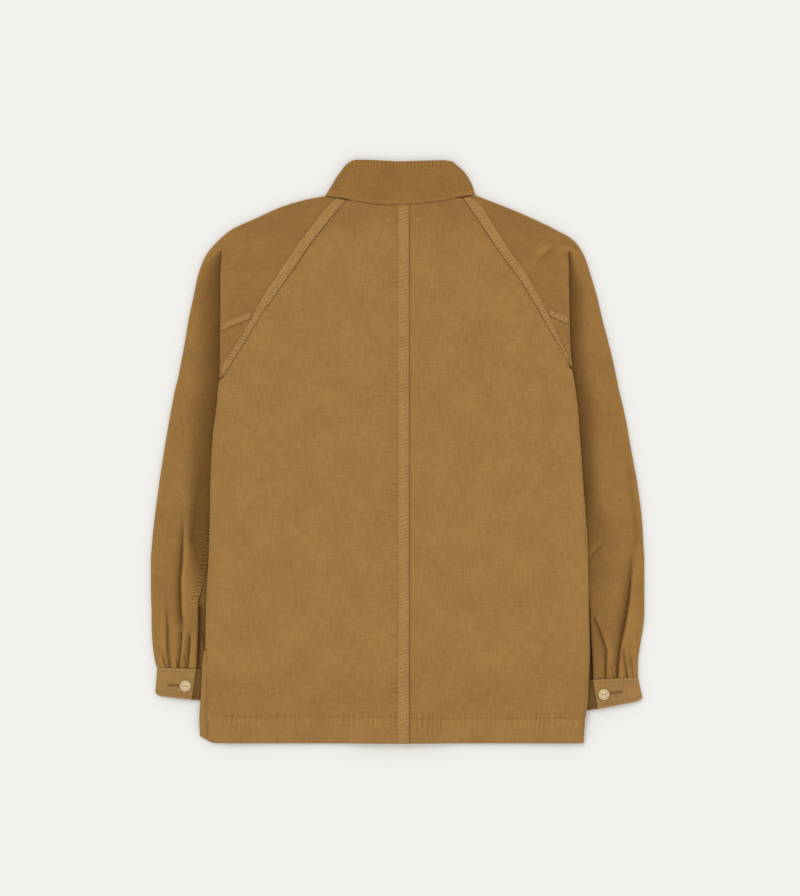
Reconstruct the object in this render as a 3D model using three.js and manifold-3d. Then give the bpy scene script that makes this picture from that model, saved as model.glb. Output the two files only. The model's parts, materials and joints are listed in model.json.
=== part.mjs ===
// A corduroy jacket laid flat with its back up. Millimetres, +Z up, the collar at +Y.
// The wearer's left is at -X. The origin is under the middle of the jacket, on the surface it lies on.
import * as THREE from 'three';
import { mergeVertices } from 'three/addons/utils/BufferGeometryUtils.js';
import Module from 'manifold-3d';

const wasm = await Module();
wasm.setup();

// Cloth and seams
const CLOTH = 1.4;
const GAP = 0.3;
const STRIP = 1.2;
const COLLAR_CLOTH = 2.6;
const CUFF_CLOTH = 2.0;
const HEM_EXTRA = 1.0;
const RAGLAN_STRIP_WIDTH = 15;
const ELBOW_STRIP_WIDTH = 10;
const CENTRE_STRIP_WIDTH = 15;
const STRIP_SHARE = 0.92;

// Heights of the middle of each layer above the surface
const FLOOR_Z = CLOTH / 2;
const SLEEVE_TOP_Z = 5.1;
const FRONT_OVER_SLEEVE_Z = 7.0;
const BODY_ROLL_RADIUS = 2.2;
const LOW_BACK_Z = 5.1;
const SIDE_RISE = FRONT_OVER_SLEEVE_Z + 2 * BODY_ROLL_RADIUS - LOW_BACK_Z;
const LEFT_FRONT_LIFT = 2.9;
const RIGHT_FRONT_LIFT = LEFT_FRONT_LIFT + CLOTH + GAP;
const CENTRE_BACK_LIFT = 4.1;
const SLEEVE_ROLL_RADIUS = (SLEEVE_TOP_Z - FLOOR_Z) / 2;
const BEND_RADIUS = 0.95;
const UNDERLAP_Z = 3.4;
const COLLAR_FRONT_Z = COLLAR_CLOTH / 2;
const COLLAR_BACK_Z = 5.4;
const CUFF_FLOOR_Z = CUFF_CLOTH / 2;
const CUFF_UNDERLAP_Z = 4.2;
const CUFF_LAP_Z = 6.5;
const CUFF_OUTER_Z = 4.6;

// Places across and down the body
const CENTRE_SEAM_X = 16;
const LAP_HALF = 16;
const ARMHOLE_END_Y = 93;
const HEM_Y = -409;
const HEM_HEIGHT = 30;
const VENT_TOP_Y = -276;
const VENT_SINK = 2.6;
const HEM_CORNER = { startX: 253, endX: 277, rise: 9.7, power: 1.7 };
const NECK_FRONT_Y = 300;
const NECK_HALF = 103;
const NECK_RISE = 57;
const NECK_DROP = 0.9;
const CUFF_SLIT_Y = -216;

// Buttons
const CUFF_BUTTON = { radius: 7.5, thick: 2.6, holeRadius: 1.1, holeOffset: 2.2 };
const FRONT_BUTTON = { radius: 10, thick: 2.6 };
const FRONT_BUTTONS = 6;
const FIRST_BUTTON_Y = 272;
const LAST_BUTTON_Y = -318;

const COLOURS = {
  body: 0x9d763f,
  sleeve: 0x966e3c,
  collar: 0x926a37,
  seam: 0xa88250,
  button: 0xc2a87c,
};

// Short tables with named columns
function table(columns, rows) {
  const names = columns.split(' ');
  return rows.map((row) => Object.fromEntries(names.map((name, i) => [name, row[i]])));
}

// Straight-line lookup in a table, by its first column
function lookup(rows, key, name) {
  return (value) => {
    const ordered = [...rows].sort((a, b) => a[key] - b[key]);
    const last = ordered.length - 1;
    if (value <= ordered[0][key]) return ordered[0][name];
    if (value >= ordered[last][key]) return ordered[last][name];
    const above = ordered.findIndex((row) => row[key] >= value);
    const [low, high] = [ordered[above - 1], ordered[above]];
    return THREE.MathUtils.mapLinear(value, low[key], high[key], low[name], high[name]);
  };
}

const lerp = THREE.MathUtils.lerp;
const ramp = (from, to, value) => {
  const part = Math.min(1, Math.max(0, (value - from) / (to - from)));
  return part * part * (3 - 2 * part);
};

// Raglan sleeve, from the neck to the underarm. Each row is one section across the sleeve:
// in = on the back raglan seam, crest = on the shoulder fold, out = on the outline,
// front = on the front raglan seam underneath. X is counted outward from the middle.
const RAGLAN = 'inX inY crestX crestY outX outY frontX frontY rise depth';
const LEFT_RAGLAN_ROWS = table(RAGLAN, [
  [72, 352, 87, 355, 101.5, 358, 84, 337, 0, 0],
  [84, 339, 108, 346, 130, 352.5, 88, 324, 0, 0],
  [97, 323, 132, 333.5, 162, 343, 93, 308, 0, 0],
  [110, 306.5, 160, 317.5, 198, 327, 98, 291, 0, 0],
  [124, 288.5, 190, 301.5, 234, 310, 103, 273, 0, 0],
  [138, 268, 234, 284, 254, 293, 108, 253, 0.8, -8],
  [151, 249, 247, 265, 268, 276, 112, 233, 3.6, 0.6],
  [164, 230, 248, 240, 279.5, 248, 116, 211, 4.4, 3],
  [177, 211, 248, 209, 286.5, 215, 121, 188, 5.2, 11],
  [190.5, 192.5, 248, 168.5, 293, 185, 125, 166, 6, 18],
  [204, 170, 248.3, 151, 298.5, 152, 128, 145, 6.3, 22],
  [219, 145, 248.4, 134, 304, 122, 131, 124, 6.3, 25],
  [243, 107.5, 248.5, 101, 309, 98, 135, 98, 6.3, 26],
]);
const RIGHT_RAGLAN_ROWS = table(RAGLAN, [
  [92, 355, 100, 357, 109.5, 359, 84, 337, 0, 0],
  [100.5, 343, 117, 349, 131, 350.5, 88, 324, 0, 0],
  [109.5, 330, 137, 337, 159, 339.5, 93, 308, 0, 0],
  [119, 316, 160, 323, 188, 327, 98, 291, 0, 0],
  [129.5, 300, 186, 306.5, 222, 310.5, 103, 273, 0, 0],
  [139, 286, 228, 284, 247, 296, 108, 253, 0.8, -8],
  [151, 269, 240, 266, 261, 276, 112, 233, 3.6, 0.6],
  [164, 252, 240, 245, 271, 247, 116, 211, 4.4, 3],
  [178, 231, 240.5, 215, 280, 216, 121, 188, 5.2, 11],
  [199, 196, 241, 177, 288, 182, 125, 166, 6, 18],
  [207, 182, 241.5, 161, 296, 152, 128, 145, 6.3, 22],
  [217, 164, 242, 142, 303, 122, 131, 124, 6.3, 25],
  [238, 131, 243.5, 116, 308, 98, 135, 98, 6.3, 26],
]);

// Sleeve below the underarm: seam = where the upper sleeve's edge lies on top, out = the outline,
// hidden = the fold under the body
const LOWER = 'y seamX outX hiddenX';
const LEFT_LOWER_ROWS = table(LOWER, [
  [93, 222, 310.5, 135],
  [50, 226, 319, 148],
  [0, 238, 327.5, 160],
  [-50, 248, 335, 171],
  [-100, 255, 341.5, 181],
  [-125, 259, 344, 186],
  [-155, 265, 346, 190],
  [-185, 271.5, 346, 195],
  [-212, 278.5, 345.5, 200],
  [-222, 279, 345, 202],
  [-240, 279, 345, 206],
  [-256, 279.5, 344.5, 211],
  [-270, 280, 343.5, 216],
  [-283, 280.5, 342, 222],
  [-294, 281, 340, 226],
  [-302, 281.5, 337.5, 229],
]);
const RIGHT_LOWER_ROWS = table(LOWER, [
  [93, 217, 309, 135],
  [50, 224, 319, 148],
  [0, 235, 328, 160],
  [-50, 246, 337, 171],
  [-100, 256, 343, 181],
  [-125, 259, 344.5, 186],
  [-155, 262, 346, 190],
  [-185, 265, 346, 195],
  [-212, 268, 346, 200],
  [-224, 269.5, 346, 202],
  [-242, 270, 345, 206],
  [-260, 271, 342, 211],
  [-276, 272, 339.5, 216],
  [-291, 273, 337.5, 220],
  [-303, 273.5, 337, 223],
  [-315, 274, 337.4, 225],
]);

// Gathers over the cuffs and the long creases down the sleeves: troughs and ridges from one end
// to the other, with a height in the middle and a half width
const CREASE = 'x1 y1 x2 y2 height width';
const LEFT_CREASES = table(CREASE, [
  [325, -205, 322.5, -306, -0.9, 5],
  [304, -118, 307, -200, -0.9, 6],
  [307, -190, 304, -306, -1.1, 5],
  [292, -250, 295, -306, -0.9, 4],
  [315, -225, 313, -306, 0.8, 5],
  [333, -235, 330, -306, 0.7, 4],
]);
const RIGHT_CREASES = table(CREASE, [
  [321, 2, 336, -115, -0.8, 6],
  [336, -105, 317, -245, -0.9, 6],
  [318, -235, 309, -318, -1.0, 5],
  [323, -270, 321, -318, -0.8, 4],
  [283, -236, 295, -318, -1.0, 5],
  [302, -262, 301, -318, 0.8, 4],
  [316, -255, 315, -318, 0.7, 4],
  [331, -240, 330, -318, 0.7, 4],
  [267, -143, 293, -121, -0.7, 6],
]);

// Top and bottom edge of each cuff, at its lapped end, its outer edge and its hidden fold
const CUFF = 'lapX lapY outX outY hiddenX hiddenY';
const CUFF_ROWS = {
  left: table(CUFF, [[282, -304.5, 337, -302.5, 229, -307], [288.4, -348, 339.8, -342, 234, -352]]),
  right: table(CUFF, [[273.7, -319.5, 337.4, -316, 225, -324], [280.3, -361, 343.7, -349, 232, -368]]),
};
const bandLine = ({ lapX, lapY, outX, outY, hiddenX, hiddenY }) => (x) => (x > lapX
  ? THREE.MathUtils.mapLinear(x, lapX, outX, lapY, outY)
  : THREE.MathUtils.mapLinear(x, hiddenX, lapX, hiddenY, lapY));

// Side edge of the body and the outline of the neck
const LEFT_SIDE = table('y x', [
  [100, 249.5], [83, 251], [2, 261], [-138, 264], [-208, 268], [-278, 269.5], [-320, 270],
  [-348, 270], [-408, 268],
]);
const RIGHT_SIDE = table('y x', [
  [116, 244.5], [100, 247], [58, 253], [2, 257], [-75, 262.5], [-138, 267], [-208, 268],
  [-278, 269.5], [-348, 267], [-370, 263], [-408, 261],
]);
const BACK_NECK = table('x y', [
  [-101.5, 358], [-77.7, 355], [-51, 349.4], [-22, 346], [12, 345.4], [42, 348.6], [69, 352.5],
  [92, 358], [109, 359.4],
]);
const VENT_EDGE = table('y x', [
  [-282, 270.5], [-302, 273], [-324, 274.8], [-348, 276], [-372, 278], [-400, 277],
]);
const COLLAR_TOP = table('x y', [
  [-73.5, 397.5], [-70, 403], [-66, 406.8], [-58, 409], [-50, 409.3], [-22, 408], [3.5, 406.7],
  [45.5, 408], [64, 408.2], [72, 407], [76, 404.5], [79, 400.5],
]);
const COLLAR_LEFT_FOLD = table('part x y', [
  [0, -101.5, 358], [0.25, -94.5, 368], [0.55, -89, 381], [0.85, -78.5, 390],
  [1, -73.5, 397.5],
]);
const COLLAR_RIGHT_FOLD = table('part x y', [
  [0, 109, 359.4], [0.45, 101.5, 381.5], [0.8, 90, 395], [1, 79, 400.5],
]);

// How the back sinks between the folded sleeves underneath: low inside start, full beyond end
const BACK_REST = table('y start end share', [
  [281, 140, 255, 0], [200, 130, 252, 0.55], [140, 90, 215, 0.9], [93, 50, 165, 1],
  [-208, 105, 235, 1], [-304, 130, 258, 1],
]);
const HIDDEN_EDGE = table('y x', [[93, 135], [-208, 200], [-304, 230]]);

const hiddenEdge = lookup(HIDDEN_EDGE, 'y', 'x');
const restStart = lookup(BACK_REST, 'y', 'start');
const restEnd = lookup(BACK_REST, 'y', 'end');
const restShare = lookup(BACK_REST, 'y', 'share');
const backNeck = lookup(BACK_NECK, 'x', 'y');
const frontNeck = (x) => NECK_FRONT_Y + NECK_RISE * Math.min(1, Math.abs(x) / NECK_HALF) ** 2.2;

// Below the cuffs the body sinks towards the surface
const hemDrop = (y) => 1 - 0.72 * ramp(-370, -405, y);

// The turned-up hems are thicker, so what lies over them is lifted
const hemLift = (y) => HEM_EXTRA * ramp(-335, -372, y);

function frontHeight(side, x, y) {
  const across = Math.abs(x);
  const armhole = y > ARMHOLE_END_Y ? ramp(128, ARMHOLE_END_Y, y) : 1;
  const over = ramp(hiddenEdge(y) - 50, hiddenEdge(y) - 7, across) * armhole * hemDrop(y);
  const lift = side < 0 ? LEFT_FRONT_LIFT : RIGHT_FRONT_LIFT + hemLift(y);
  const placket = (lift - NECK_DROP * ramp(284, 300, y)) * (1 - ramp(20, 58, across));
  return FLOOR_Z + (FRONT_OVER_SLEEVE_Z - FLOOR_Z) * over + placket;
}

function backHeight(x, y) {
  const across = Math.abs(x);
  const side = SIDE_RISE * restShare(y) * ramp(restStart(y), restEnd(y), across);
  const centre = CENTRE_BACK_LIFT * (1 - ramp(24, 95, across)) * ramp(346, 262, y);
  return LOW_BACK_Z + side * hemDrop(y) + centre + hemLift(y) * lerp(1.5, 0.6, ramp(30, 120, across));
}

// A wall of cloth round a grid of middle points. facing picks the side the top of the cloth is on,
// keep says which cells are cloth, and outward and inward give its thickness on each side.
function wall(grid, { facing, keep = () => true, outward = CLOTH / 2, inward = () => CLOTH / 2 }) {
  const rows = grid.length;
  const columns = grid[0].length;
  const id = (i, j) => i * columns + j;
  const normals = Array.from({ length: rows * columns }, () => new THREE.Vector3());
  const cells = [];
  for (let i = 0; i < rows - 1; i += 1) {
    for (let j = 0; j < columns - 1; j += 1) {
      if (!keep(i, j)) continue;
      const loop = [[i, j], [i, j + 1], [i + 1, j + 1], [i + 1, j]];
      if (facing < 0) loop.reverse();
      cells.push(loop);
      const [a, b, c, d] = loop.map(([r, k]) => grid[r][k]);
      const normal = c.clone().sub(a).cross(d.clone().sub(b)).normalize();
      for (const [r, k] of loop) normals[id(r, k)].add(normal);
    }
  }
  normals.forEach((normal) => normal.normalize());
  const edges = new Map();
  for (const loop of cells) {
    loop.forEach((from, n) => {
      const to = loop[(n + 1) % 4];
      edges.set(`${id(...from)}_${id(...to)}`, [from, to]);
    });
  }
  const border = [...edges].filter(([key]) => !edges.has(key.split('_').reverse().join('_')));
  const pull = new Map();
  for (const [, [from, to]] of border) {
    const along = grid[to[0]][to[1]].clone().sub(grid[from[0]][from[1]]);
    for (const [r, k] of [from, to]) {
      const inwards = normals[id(r, k)].clone().cross(along).normalize();
      const entry = pull.get(id(r, k)) ?? { sum: new THREE.Vector3(), count: 0 };
      entry.sum.add(inwards);
      entry.count += 1;
      pull.set(id(r, k), entry);
    }
  }
  const vertices = [];
  const numbers = new Map();
  const vertex = (r, k, top) => {
    const key = `${id(r, k)}_${top}`;
    if (numbers.has(key)) return numbers.get(key);
    const point = grid[r][k].clone();
    const entry = pull.get(id(r, k));
    if (entry) {
      const mean = entry.sum.clone().divideScalar(entry.count);
      point.addScaledVector(mean, GAP / 2 / Math.max(0.4, mean.lengthSq()));
    }
    point.addScaledVector(normals[id(r, k)], top ? outward : -inward(r, k));
    numbers.set(key, vertices.length / 3);
    vertices.push(...point.toArray());
    return numbers.get(key);
  };
  const faces = [];
  for (const loop of cells) {
    const [a, b, c, d] = loop.map(([r, k]) => vertex(r, k, 1));
    faces.push(a, b, c, a, c, d);
    const [e, f, g, h] = loop.map(([r, k]) => vertex(r, k, 0));
    faces.push(e, g, f, e, h, g);
  }
  for (const [, [from, to]] of border) {
    const [a, b] = [vertex(...from, 1), vertex(...to, 1)];
    const [c, d] = [vertex(...to, 0), vertex(...from, 0)];
    faces.push(b, a, d, b, d, c);
  }
  const geometry = new THREE.BufferGeometry();
  geometry.setAttribute('position', new THREE.Float32BufferAttribute(vertices, 3));
  geometry.setIndex(faces);
  return geometry;
}

const garment = new THREE.Group();

function add(name, geometry, colour, roughness = 0.95) {
  const material = new THREE.MeshStandardMaterial({ color: colour, roughness, metalness: 0 });
  const mesh = new THREE.Mesh(geometry, material);
  mesh.name = name;
  garment.add(mesh);
  return mesh;
}

// Points along a line in plan, from a start towards an end, with their own heights
const onLine = (from, to, distance, z) => {
  const along = new THREE.Vector2(to[0] - from[0], to[1] - from[1]).normalize();
  return new THREE.Vector3(from[0] + along.x * distance, from[1] + along.y * distance, z);
};

const span = (count, make) => Array.from({ length: count + 1 }, (_, n) => make(n / count));

// Cells across each stretch of the sleeve's section
const CELLS = { shoulder: 5, crest: 4, fold: 2, bend: 3, top: 11, outer: 5, floor: 2 };
const BEND_START = CELLS.shoulder + CELLS.crest + CELLS.fold;
const TOP_START = BEND_START + CELLS.bend;
const OUTER_START = TOP_START + CELLS.top;

function creaseHeight(creases, x, y) {
  let height = 0;
  for (const crease of creases) {
    const along = [crease.x2 - crease.x1, crease.y2 - crease.y1];
    const length = Math.hypot(...along);
    const reach = ((x - crease.x1) * along[0] + (y - crease.y1) * along[1]) / length ** 2;
    const off = ((x - crease.x1) * along[1] - (y - crease.y1) * along[0]) / length;
    const fade = ramp(-0.12, 0.3, reach) * ramp(1.15, 1.02, reach);
    height += crease.height * fade * Math.exp(-((off / crease.width) ** 2));
  }
  return height;
}

// The end of a sleeve section: over the outer edge and back along the surface
function outerRoll(from, out, front) {
  const reach = Math.hypot(out[0] - from[0], out[1] - from[1]);
  const centre = reach - SLEEVE_ROLL_RADIUS - CLOTH / 2;
  const middle = (SLEEVE_TOP_Z + FLOOR_Z) / 2;
  const roll = span(CELLS.outer, (part) => {
    const angle = Math.PI * (0.5 - part);
    const along = centre + SLEEVE_ROLL_RADIUS * Math.cos(angle);
    return onLine(from, out, along, middle + SLEEVE_ROLL_RADIUS * Math.sin(angle));
  });
  const last = roll[roll.length - 1];
  const floor = span(CELLS.floor, (part) => new THREE.Vector3(
    lerp(last.x, front[0], part),
    lerp(last.y, front[1], part),
    FLOOR_Z,
  ));
  return [...roll, ...floor.slice(1)];
}

// One section of the raglan part, from the back seam over the shoulder fold to the front seam
function raglanSection(row, creases) {
  const start = [row.inX, row.inY];
  const crest = [row.crestX, row.crestY];
  const out = [row.outX, row.outY];
  const startZ = backHeight(row.inX, row.inY);
  const crestZ = SLEEVE_TOP_Z + row.rise;
  const shoulder = Math.hypot(crest[0] - start[0], crest[1] - start[1]);
  const points = [];
  const foldCells = CELLS.crest + CELLS.fold + CELLS.bend;
  if (row.depth <= 0) {
    const flat = -row.depth / 2;
    const beyond = Math.hypot(out[0] - crest[0], out[1] - crest[1]);
    const slope = flat + Math.max(flat, beyond * 0.25);
    points.push(...span(CELLS.shoulder, (part) => onLine(
      start, crest, (shoulder - flat) * part, lerp(startZ, crestZ, ramp(0, 1, part)),
    )));
    const foldStart = onLine(start, crest, shoulder - flat, 0);
    points.push(...span(foldCells, (part) => onLine(
      [foldStart.x, foldStart.y], out, slope * part,
      crestZ - row.rise * ramp(0, 1, part),
    )).slice(1));
  } else {
    const crestRadius = (row.rise - 2 * BEND_RADIUS) / 2;
    const centre = shoulder - crestRadius - CLOTH / 2;
    points.push(...span(CELLS.shoulder, (part) => onLine(
      start, crest, centre * part, lerp(startZ, crestZ, ramp(0, 1, part)),
    )));
    const seat = onLine(start, crest, centre, 0);
    const base = [seat.x, seat.y];
    points.push(...span(CELLS.crest, (part) => {
      const angle = Math.PI * (0.5 - part);
      const z = crestZ - crestRadius + crestRadius * Math.sin(angle);
      return onLine(base, out, crestRadius * Math.cos(angle), z);
    }).slice(1));
    const foldZ = crestZ - 2 * crestRadius;
    points.push(...span(CELLS.fold, (part) => onLine(base, out, -row.depth * part, foldZ)).slice(1));
    points.push(...span(CELLS.bend, (part) => {
      const angle = Math.PI * (0.5 + part);
      const z = foldZ - BEND_RADIUS + BEND_RADIUS * Math.sin(angle);
      return onLine(base, out, -row.depth + BEND_RADIUS * Math.cos(angle), z);
    }).slice(1));
  }
  const last = points[points.length - 1];
  const from = [last.x, last.y];
  const reach = Math.hypot(out[0] - last.x, out[1] - last.y) - SLEEVE_ROLL_RADIUS - CLOTH / 2;
  points.push(...span(CELLS.top, (part) => {
    const point = onLine(from, out, reach * part, SLEEVE_TOP_Z);
    point.z += creaseHeight(creases, point.x, point.y) * ramp(0, 0.15, part) * ramp(1, 0.85, part);
    return point;
  }).slice(1));
  points.push(...outerRoll(from, out, [row.frontX, row.frontY]).slice(1));
  return points;
}

// One section of the upper sleeve below the underarm, from the elbow seam to the forearm seam
const FOREARM_SHARE = 0.72;
function lowerSection(row, creases) {
  const from = [row.seamX, row.y];
  const out = [row.outX, row.y];
  const reach = row.outX - row.seamX - SLEEVE_ROLL_RADIUS - CLOTH / 2;
  const hidden = Array.from({ length: TOP_START }, () => new THREE.Vector3(...from, SLEEVE_TOP_Z));
  const top = span(CELLS.top, (part) => {
    const point = onLine(from, out, reach * part, SLEEVE_TOP_Z);
    const clear = ramp(row.seamX + 5, row.seamX + 11, point.x);
    point.z += creaseHeight(creases, point.x, point.y) * clear * ramp(1, 0.85, part);
    return point;
  });
  const floorEnd = lerp(row.outX, row.hiddenX, FOREARM_SHARE);
  return [...hidden, ...top, ...outerRoll(from, out, [floorEnd, row.y]).slice(1)];
}

const mirror = (side, grid) => grid.map((row) => row.map((p) => new THREE.Vector3(side * p.x, p.y, p.z)));

// A strip of cloth laid on a grid of points and moved out from them
function strip(points, facing) {
  const lift = CLOTH / 2 + GAP + STRIP / 2;
  const raised = points.map((row) => row.map((p) => new THREE.Vector3(p.x, p.y, p.z + lift)));
  return wall(raised, { facing, outward: STRIP / 2, inward: () => STRIP / 2 });
}

const SIDES = [
  { name: 'left', side: -1, raglan: LEFT_RAGLAN_ROWS, lower: LEFT_LOWER_ROWS, creases: LEFT_CREASES },
  { name: 'right', side: 1, raglan: RIGHT_RAGLAN_ROWS, lower: RIGHT_LOWER_ROWS, creases: RIGHT_CREASES },
];
const ELBOW_ROW = 9;

// The last row of a sleeve follows the top edge of its cuff
function endOnCuff(name, points) {
  const top = bandLine(CUFF_ROWS[name][0]);
  for (const point of points) point.y = top(point.x);
}

// Upper sleeve, the part of the under sleeve that shows at the shoulder, and their felled seams
function addSleeve({ name, side, raglan, lower, creases }) {
  const upper = raglan.map((row) => raglanSection(row, creases));
  const lowest = raglan.length - 1;
  const lowerRows = lower.map((row) => lowerSection(row, creases));
  endOnCuff(name, lowerRows[lowerRows.length - 1]);
  const grid = mirror(side, [...upper, ...lowerRows]);
  const keep = (i, j) => {
    if (i < ELBOW_ROW) return true;
    if (i < lowest) return j >= BEND_START;
    return j >= TOP_START;
  };
  add(`${name}_top_sleeve`, wall(grid, { facing: -side, keep }), COLOURS.sleeve);

  const head = mirror(side, upper.slice(ELBOW_ROW).map((row) => {
    const last = row[BEND_START].clone().lerp(row[BEND_START - 1], 0.1);
    return [...row.slice(0, BEND_START), last];
  }));
  add(`${name}_under_sleeve_head`, wall(head, { facing: -side }), COLOURS.sleeve);

  const nearEnd = upper[lowest].map((point, n) => point.clone().lerp(upper[lowest - 1][n], 0.5));
  const raglanStrip = [...upper.slice(0, lowest), nearEnd, upper[lowest]].map((row) => {
    const toCrest = row[0].distanceTo(row[CELLS.shoulder]);
    const width = Math.min(RAGLAN_STRIP_WIDTH, toCrest * STRIP_SHARE);
    return span(2, (part) => alongRow(row, width * part));
  });
  add(`${name}_raglan_seam`, strip(mirror(side, raglanStrip), -side), COLOURS.seam);

  const elbowStrip = [1, 0].map((step) => span(CELLS.shoulder, (part) => {
    const row = upper[ELBOW_ROW];
    const above = upper[ELBOW_ROW - 1];
    const first = alongRow(row, RAGLAN_STRIP_WIDTH + GAP * 2);
    const last = row[CELLS.shoulder];
    const here = lerpAcross(row, lerp(first.x, last.x, part));
    const there = lerpAcross(above, lerp(first.x, last.x, part));
    const share = (step * ELBOW_STRIP_WIDTH) / here.distanceTo(there);
    return here.clone().lerp(there, share);
  }));
  add(`${name}_elbow_seam`, strip(mirror(side, elbowStrip), -side), COLOURS.seam);
}

// A point a distance along a section's first stretch, and a point on it at a given X
function alongRow(row, distance) {
  let left = distance;
  for (let n = 0; n < row.length - 1; n += 1) {
    const step = row[n].distanceTo(row[n + 1]);
    if (left <= step) return row[n].clone().lerp(row[n + 1], left / step);
    left -= step;
  }
  return row[row.length - 1].clone();
}
function lerpAcross(row, x) {
  const n = row.findIndex((point, index) => index < row.length - 1 && row[index + 1].x >= x);
  return row[n].clone().lerp(row[n + 1], (x - row[n].x) / (row[n + 1].x - row[n].x));
}

// The rest of the under sleeve: along the surface, round the hidden fold and up to the elbow seam
const UNDER_CELLS = { floor: 1, roll: 4, top: 4 };
const SLIT_LAP = 6;
function addUnderSleeve({ name, side, lower }) {
  const grid = lower.map((row) => {
    const floorStart = lerp(row.outX, row.hiddenX, FOREARM_SHARE);
    const topZ = lerp(SLEEVE_TOP_Z, UNDERLAP_Z, ramp(-150, CUFF_SLIT_Y, row.y));
    const radius = (topZ - FLOOR_Z) / 2;
    const centre = row.hiddenX + radius + CLOTH / 2;
    const slit = row.y < CUFF_SLIT_Y;
    const reach = slit ? row.seamX + SLIT_LAP : row.seamX;
    return [
      ...span(UNDER_CELLS.floor, (part) => new THREE.Vector3(lerp(floorStart, centre, part), row.y, FLOOR_Z)),
      ...span(UNDER_CELLS.roll, (part) => {
        const angle = Math.PI * (1.5 - part);
        const z = FLOOR_Z + radius + radius * Math.sin(angle);
        return new THREE.Vector3(centre + radius * Math.cos(angle), row.y, z);
      }).slice(1),
      ...span(UNDER_CELLS.top, (part) => {
        const edgeZ = lerp(SLEEVE_TOP_Z, UNDERLAP_Z, ramp(-185, -212, row.y));
        const z = lerp(topZ, edgeZ, part);
        return new THREE.Vector3(lerp(centre, reach, part), row.y, z);
      }).slice(1),
    ];
  });
  endOnCuff(name, grid[grid.length - 1]);
  add(`${name}_under_sleeve`, wall(mirror(side, grid), { facing: -side }), COLOURS.sleeve);
}

// Back, from the centre seam out to the raglan seam and, below it, round the side of the body
const BACK_CELLS = { across: 9, roll: 5 };
const BODY_ROWS = [60, 20, -30, -80, -130, -180, -230, -270];
const HEM_ROWS = [
  VENT_TOP_Y - 0.5, VENT_TOP_Y - 6, -315, -350, HEM_Y + HEM_HEIGHT, HEM_Y + HEM_HEIGHT / 2, HEM_Y,
];
const ventEdge = lookup(VENT_EDGE, 'y', 'x');

// At the vent the back sinks onto the front, less so at the thicker hems, and the hem is rounded
// up to its edge
function ventSink(side, x, y) {
  if (side > 0) return 0;
  return VENT_SINK * ramp(245, 268, x) * ramp(-268, -290, y) * lerp(1, 0.4, ramp(-340, -376, y));
}
function hemY(side, x, y) {
  if (side > 0 || y > HEM_Y || x < HEM_CORNER.startX) return y;
  const part = (x - HEM_CORNER.startX) / (HEM_CORNER.endX - HEM_CORNER.startX);
  return y + HEM_CORNER.rise * part ** HEM_CORNER.power;
}

function addBack({ name, side, raglan }) {
  const sideTable = side < 0 ? LEFT_SIDE : RIGHT_SIDE;
  const sideEdge = lookup(sideTable, 'y', 'x');
  const startY = raglan[raglan.length - 1].crestY - 0.4;
  const upper = raglan.map((row) => ({ y: row.inY, edge: row.inX, roll: false }));
  const lower = [startY, ...BODY_ROWS, ...HEM_ROWS].map((y) => ({ y, edge: sideEdge(y), roll: true }));
  const rows = [...upper, ...lower];
  const radius = BODY_ROLL_RADIUS;
  const grid = rows.map(({ y, edge, roll }, i) => {
    const flatEnd = roll ? edge - radius - CLOTH / 2 : edge;
    const first = side * CENTRE_SEAM_X;
    const topZ = backHeight(edge, y) - ventSink(side, edge, y);
    const points = span(BACK_CELLS.across, (part) => {
      const x = lerp(first, flatEnd, part);
      const end = i === 0 ? lerp(backNeck(side * x), y, ramp(0.75, 1, part)) : hemY(side, x, y);
      return new THREE.Vector3(x, end, backHeight(x, y) - ventSink(side, x, y));
    });
    const round = span(BACK_CELLS.roll, (part) => {
      const angle = Math.PI * (0.5 - part);
      const z = topZ - radius + radius * Math.sin(angle);
      return new THREE.Vector3(flatEnd + radius * Math.cos(angle), y, z);
    }).slice(1);
    return [...points, ...round, new THREE.Vector3(flatEnd - 2, y, topZ - 2 * radius)];
  });
  const rollRow = upper.length;
  const ventRow = rows.findIndex((row) => row.y < VENT_TOP_Y);
  const vented = side < 0;
  const keep = (i, j) => {
    if (j < BACK_CELLS.across) return true;
    return i >= rollRow && !(vented && i >= ventRow);
  };
  const hemTop = HEM_Y + HEM_HEIGHT + 1;
  const inward = (i) => CLOTH / 2 + (rows[i].y < hemTop ? HEM_EXTRA : 0);
  add(`${name}_back`, wall(mirror(side, grid), { facing: -side, keep, inward }), COLOURS.body);
  return grid;
}

// Felled centre seam, laid on the left half's edge
function addCentreSeam(leftGrid) {
  const points = mirror(-1, leftGrid).map((row) => span(1, (part) => {
    const x = lerp(CENTRE_SEAM_X, CENTRE_SEAM_X - CENTRE_STRIP_WIDTH, part);
    const point = row[0].clone().lerp(row[1], (row[0].x - x) / (row[0].x - row[1].x));
    return point;
  }));
  add('centre_back_seam', strip(points, 1), COLOURS.seam);
}

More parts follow.
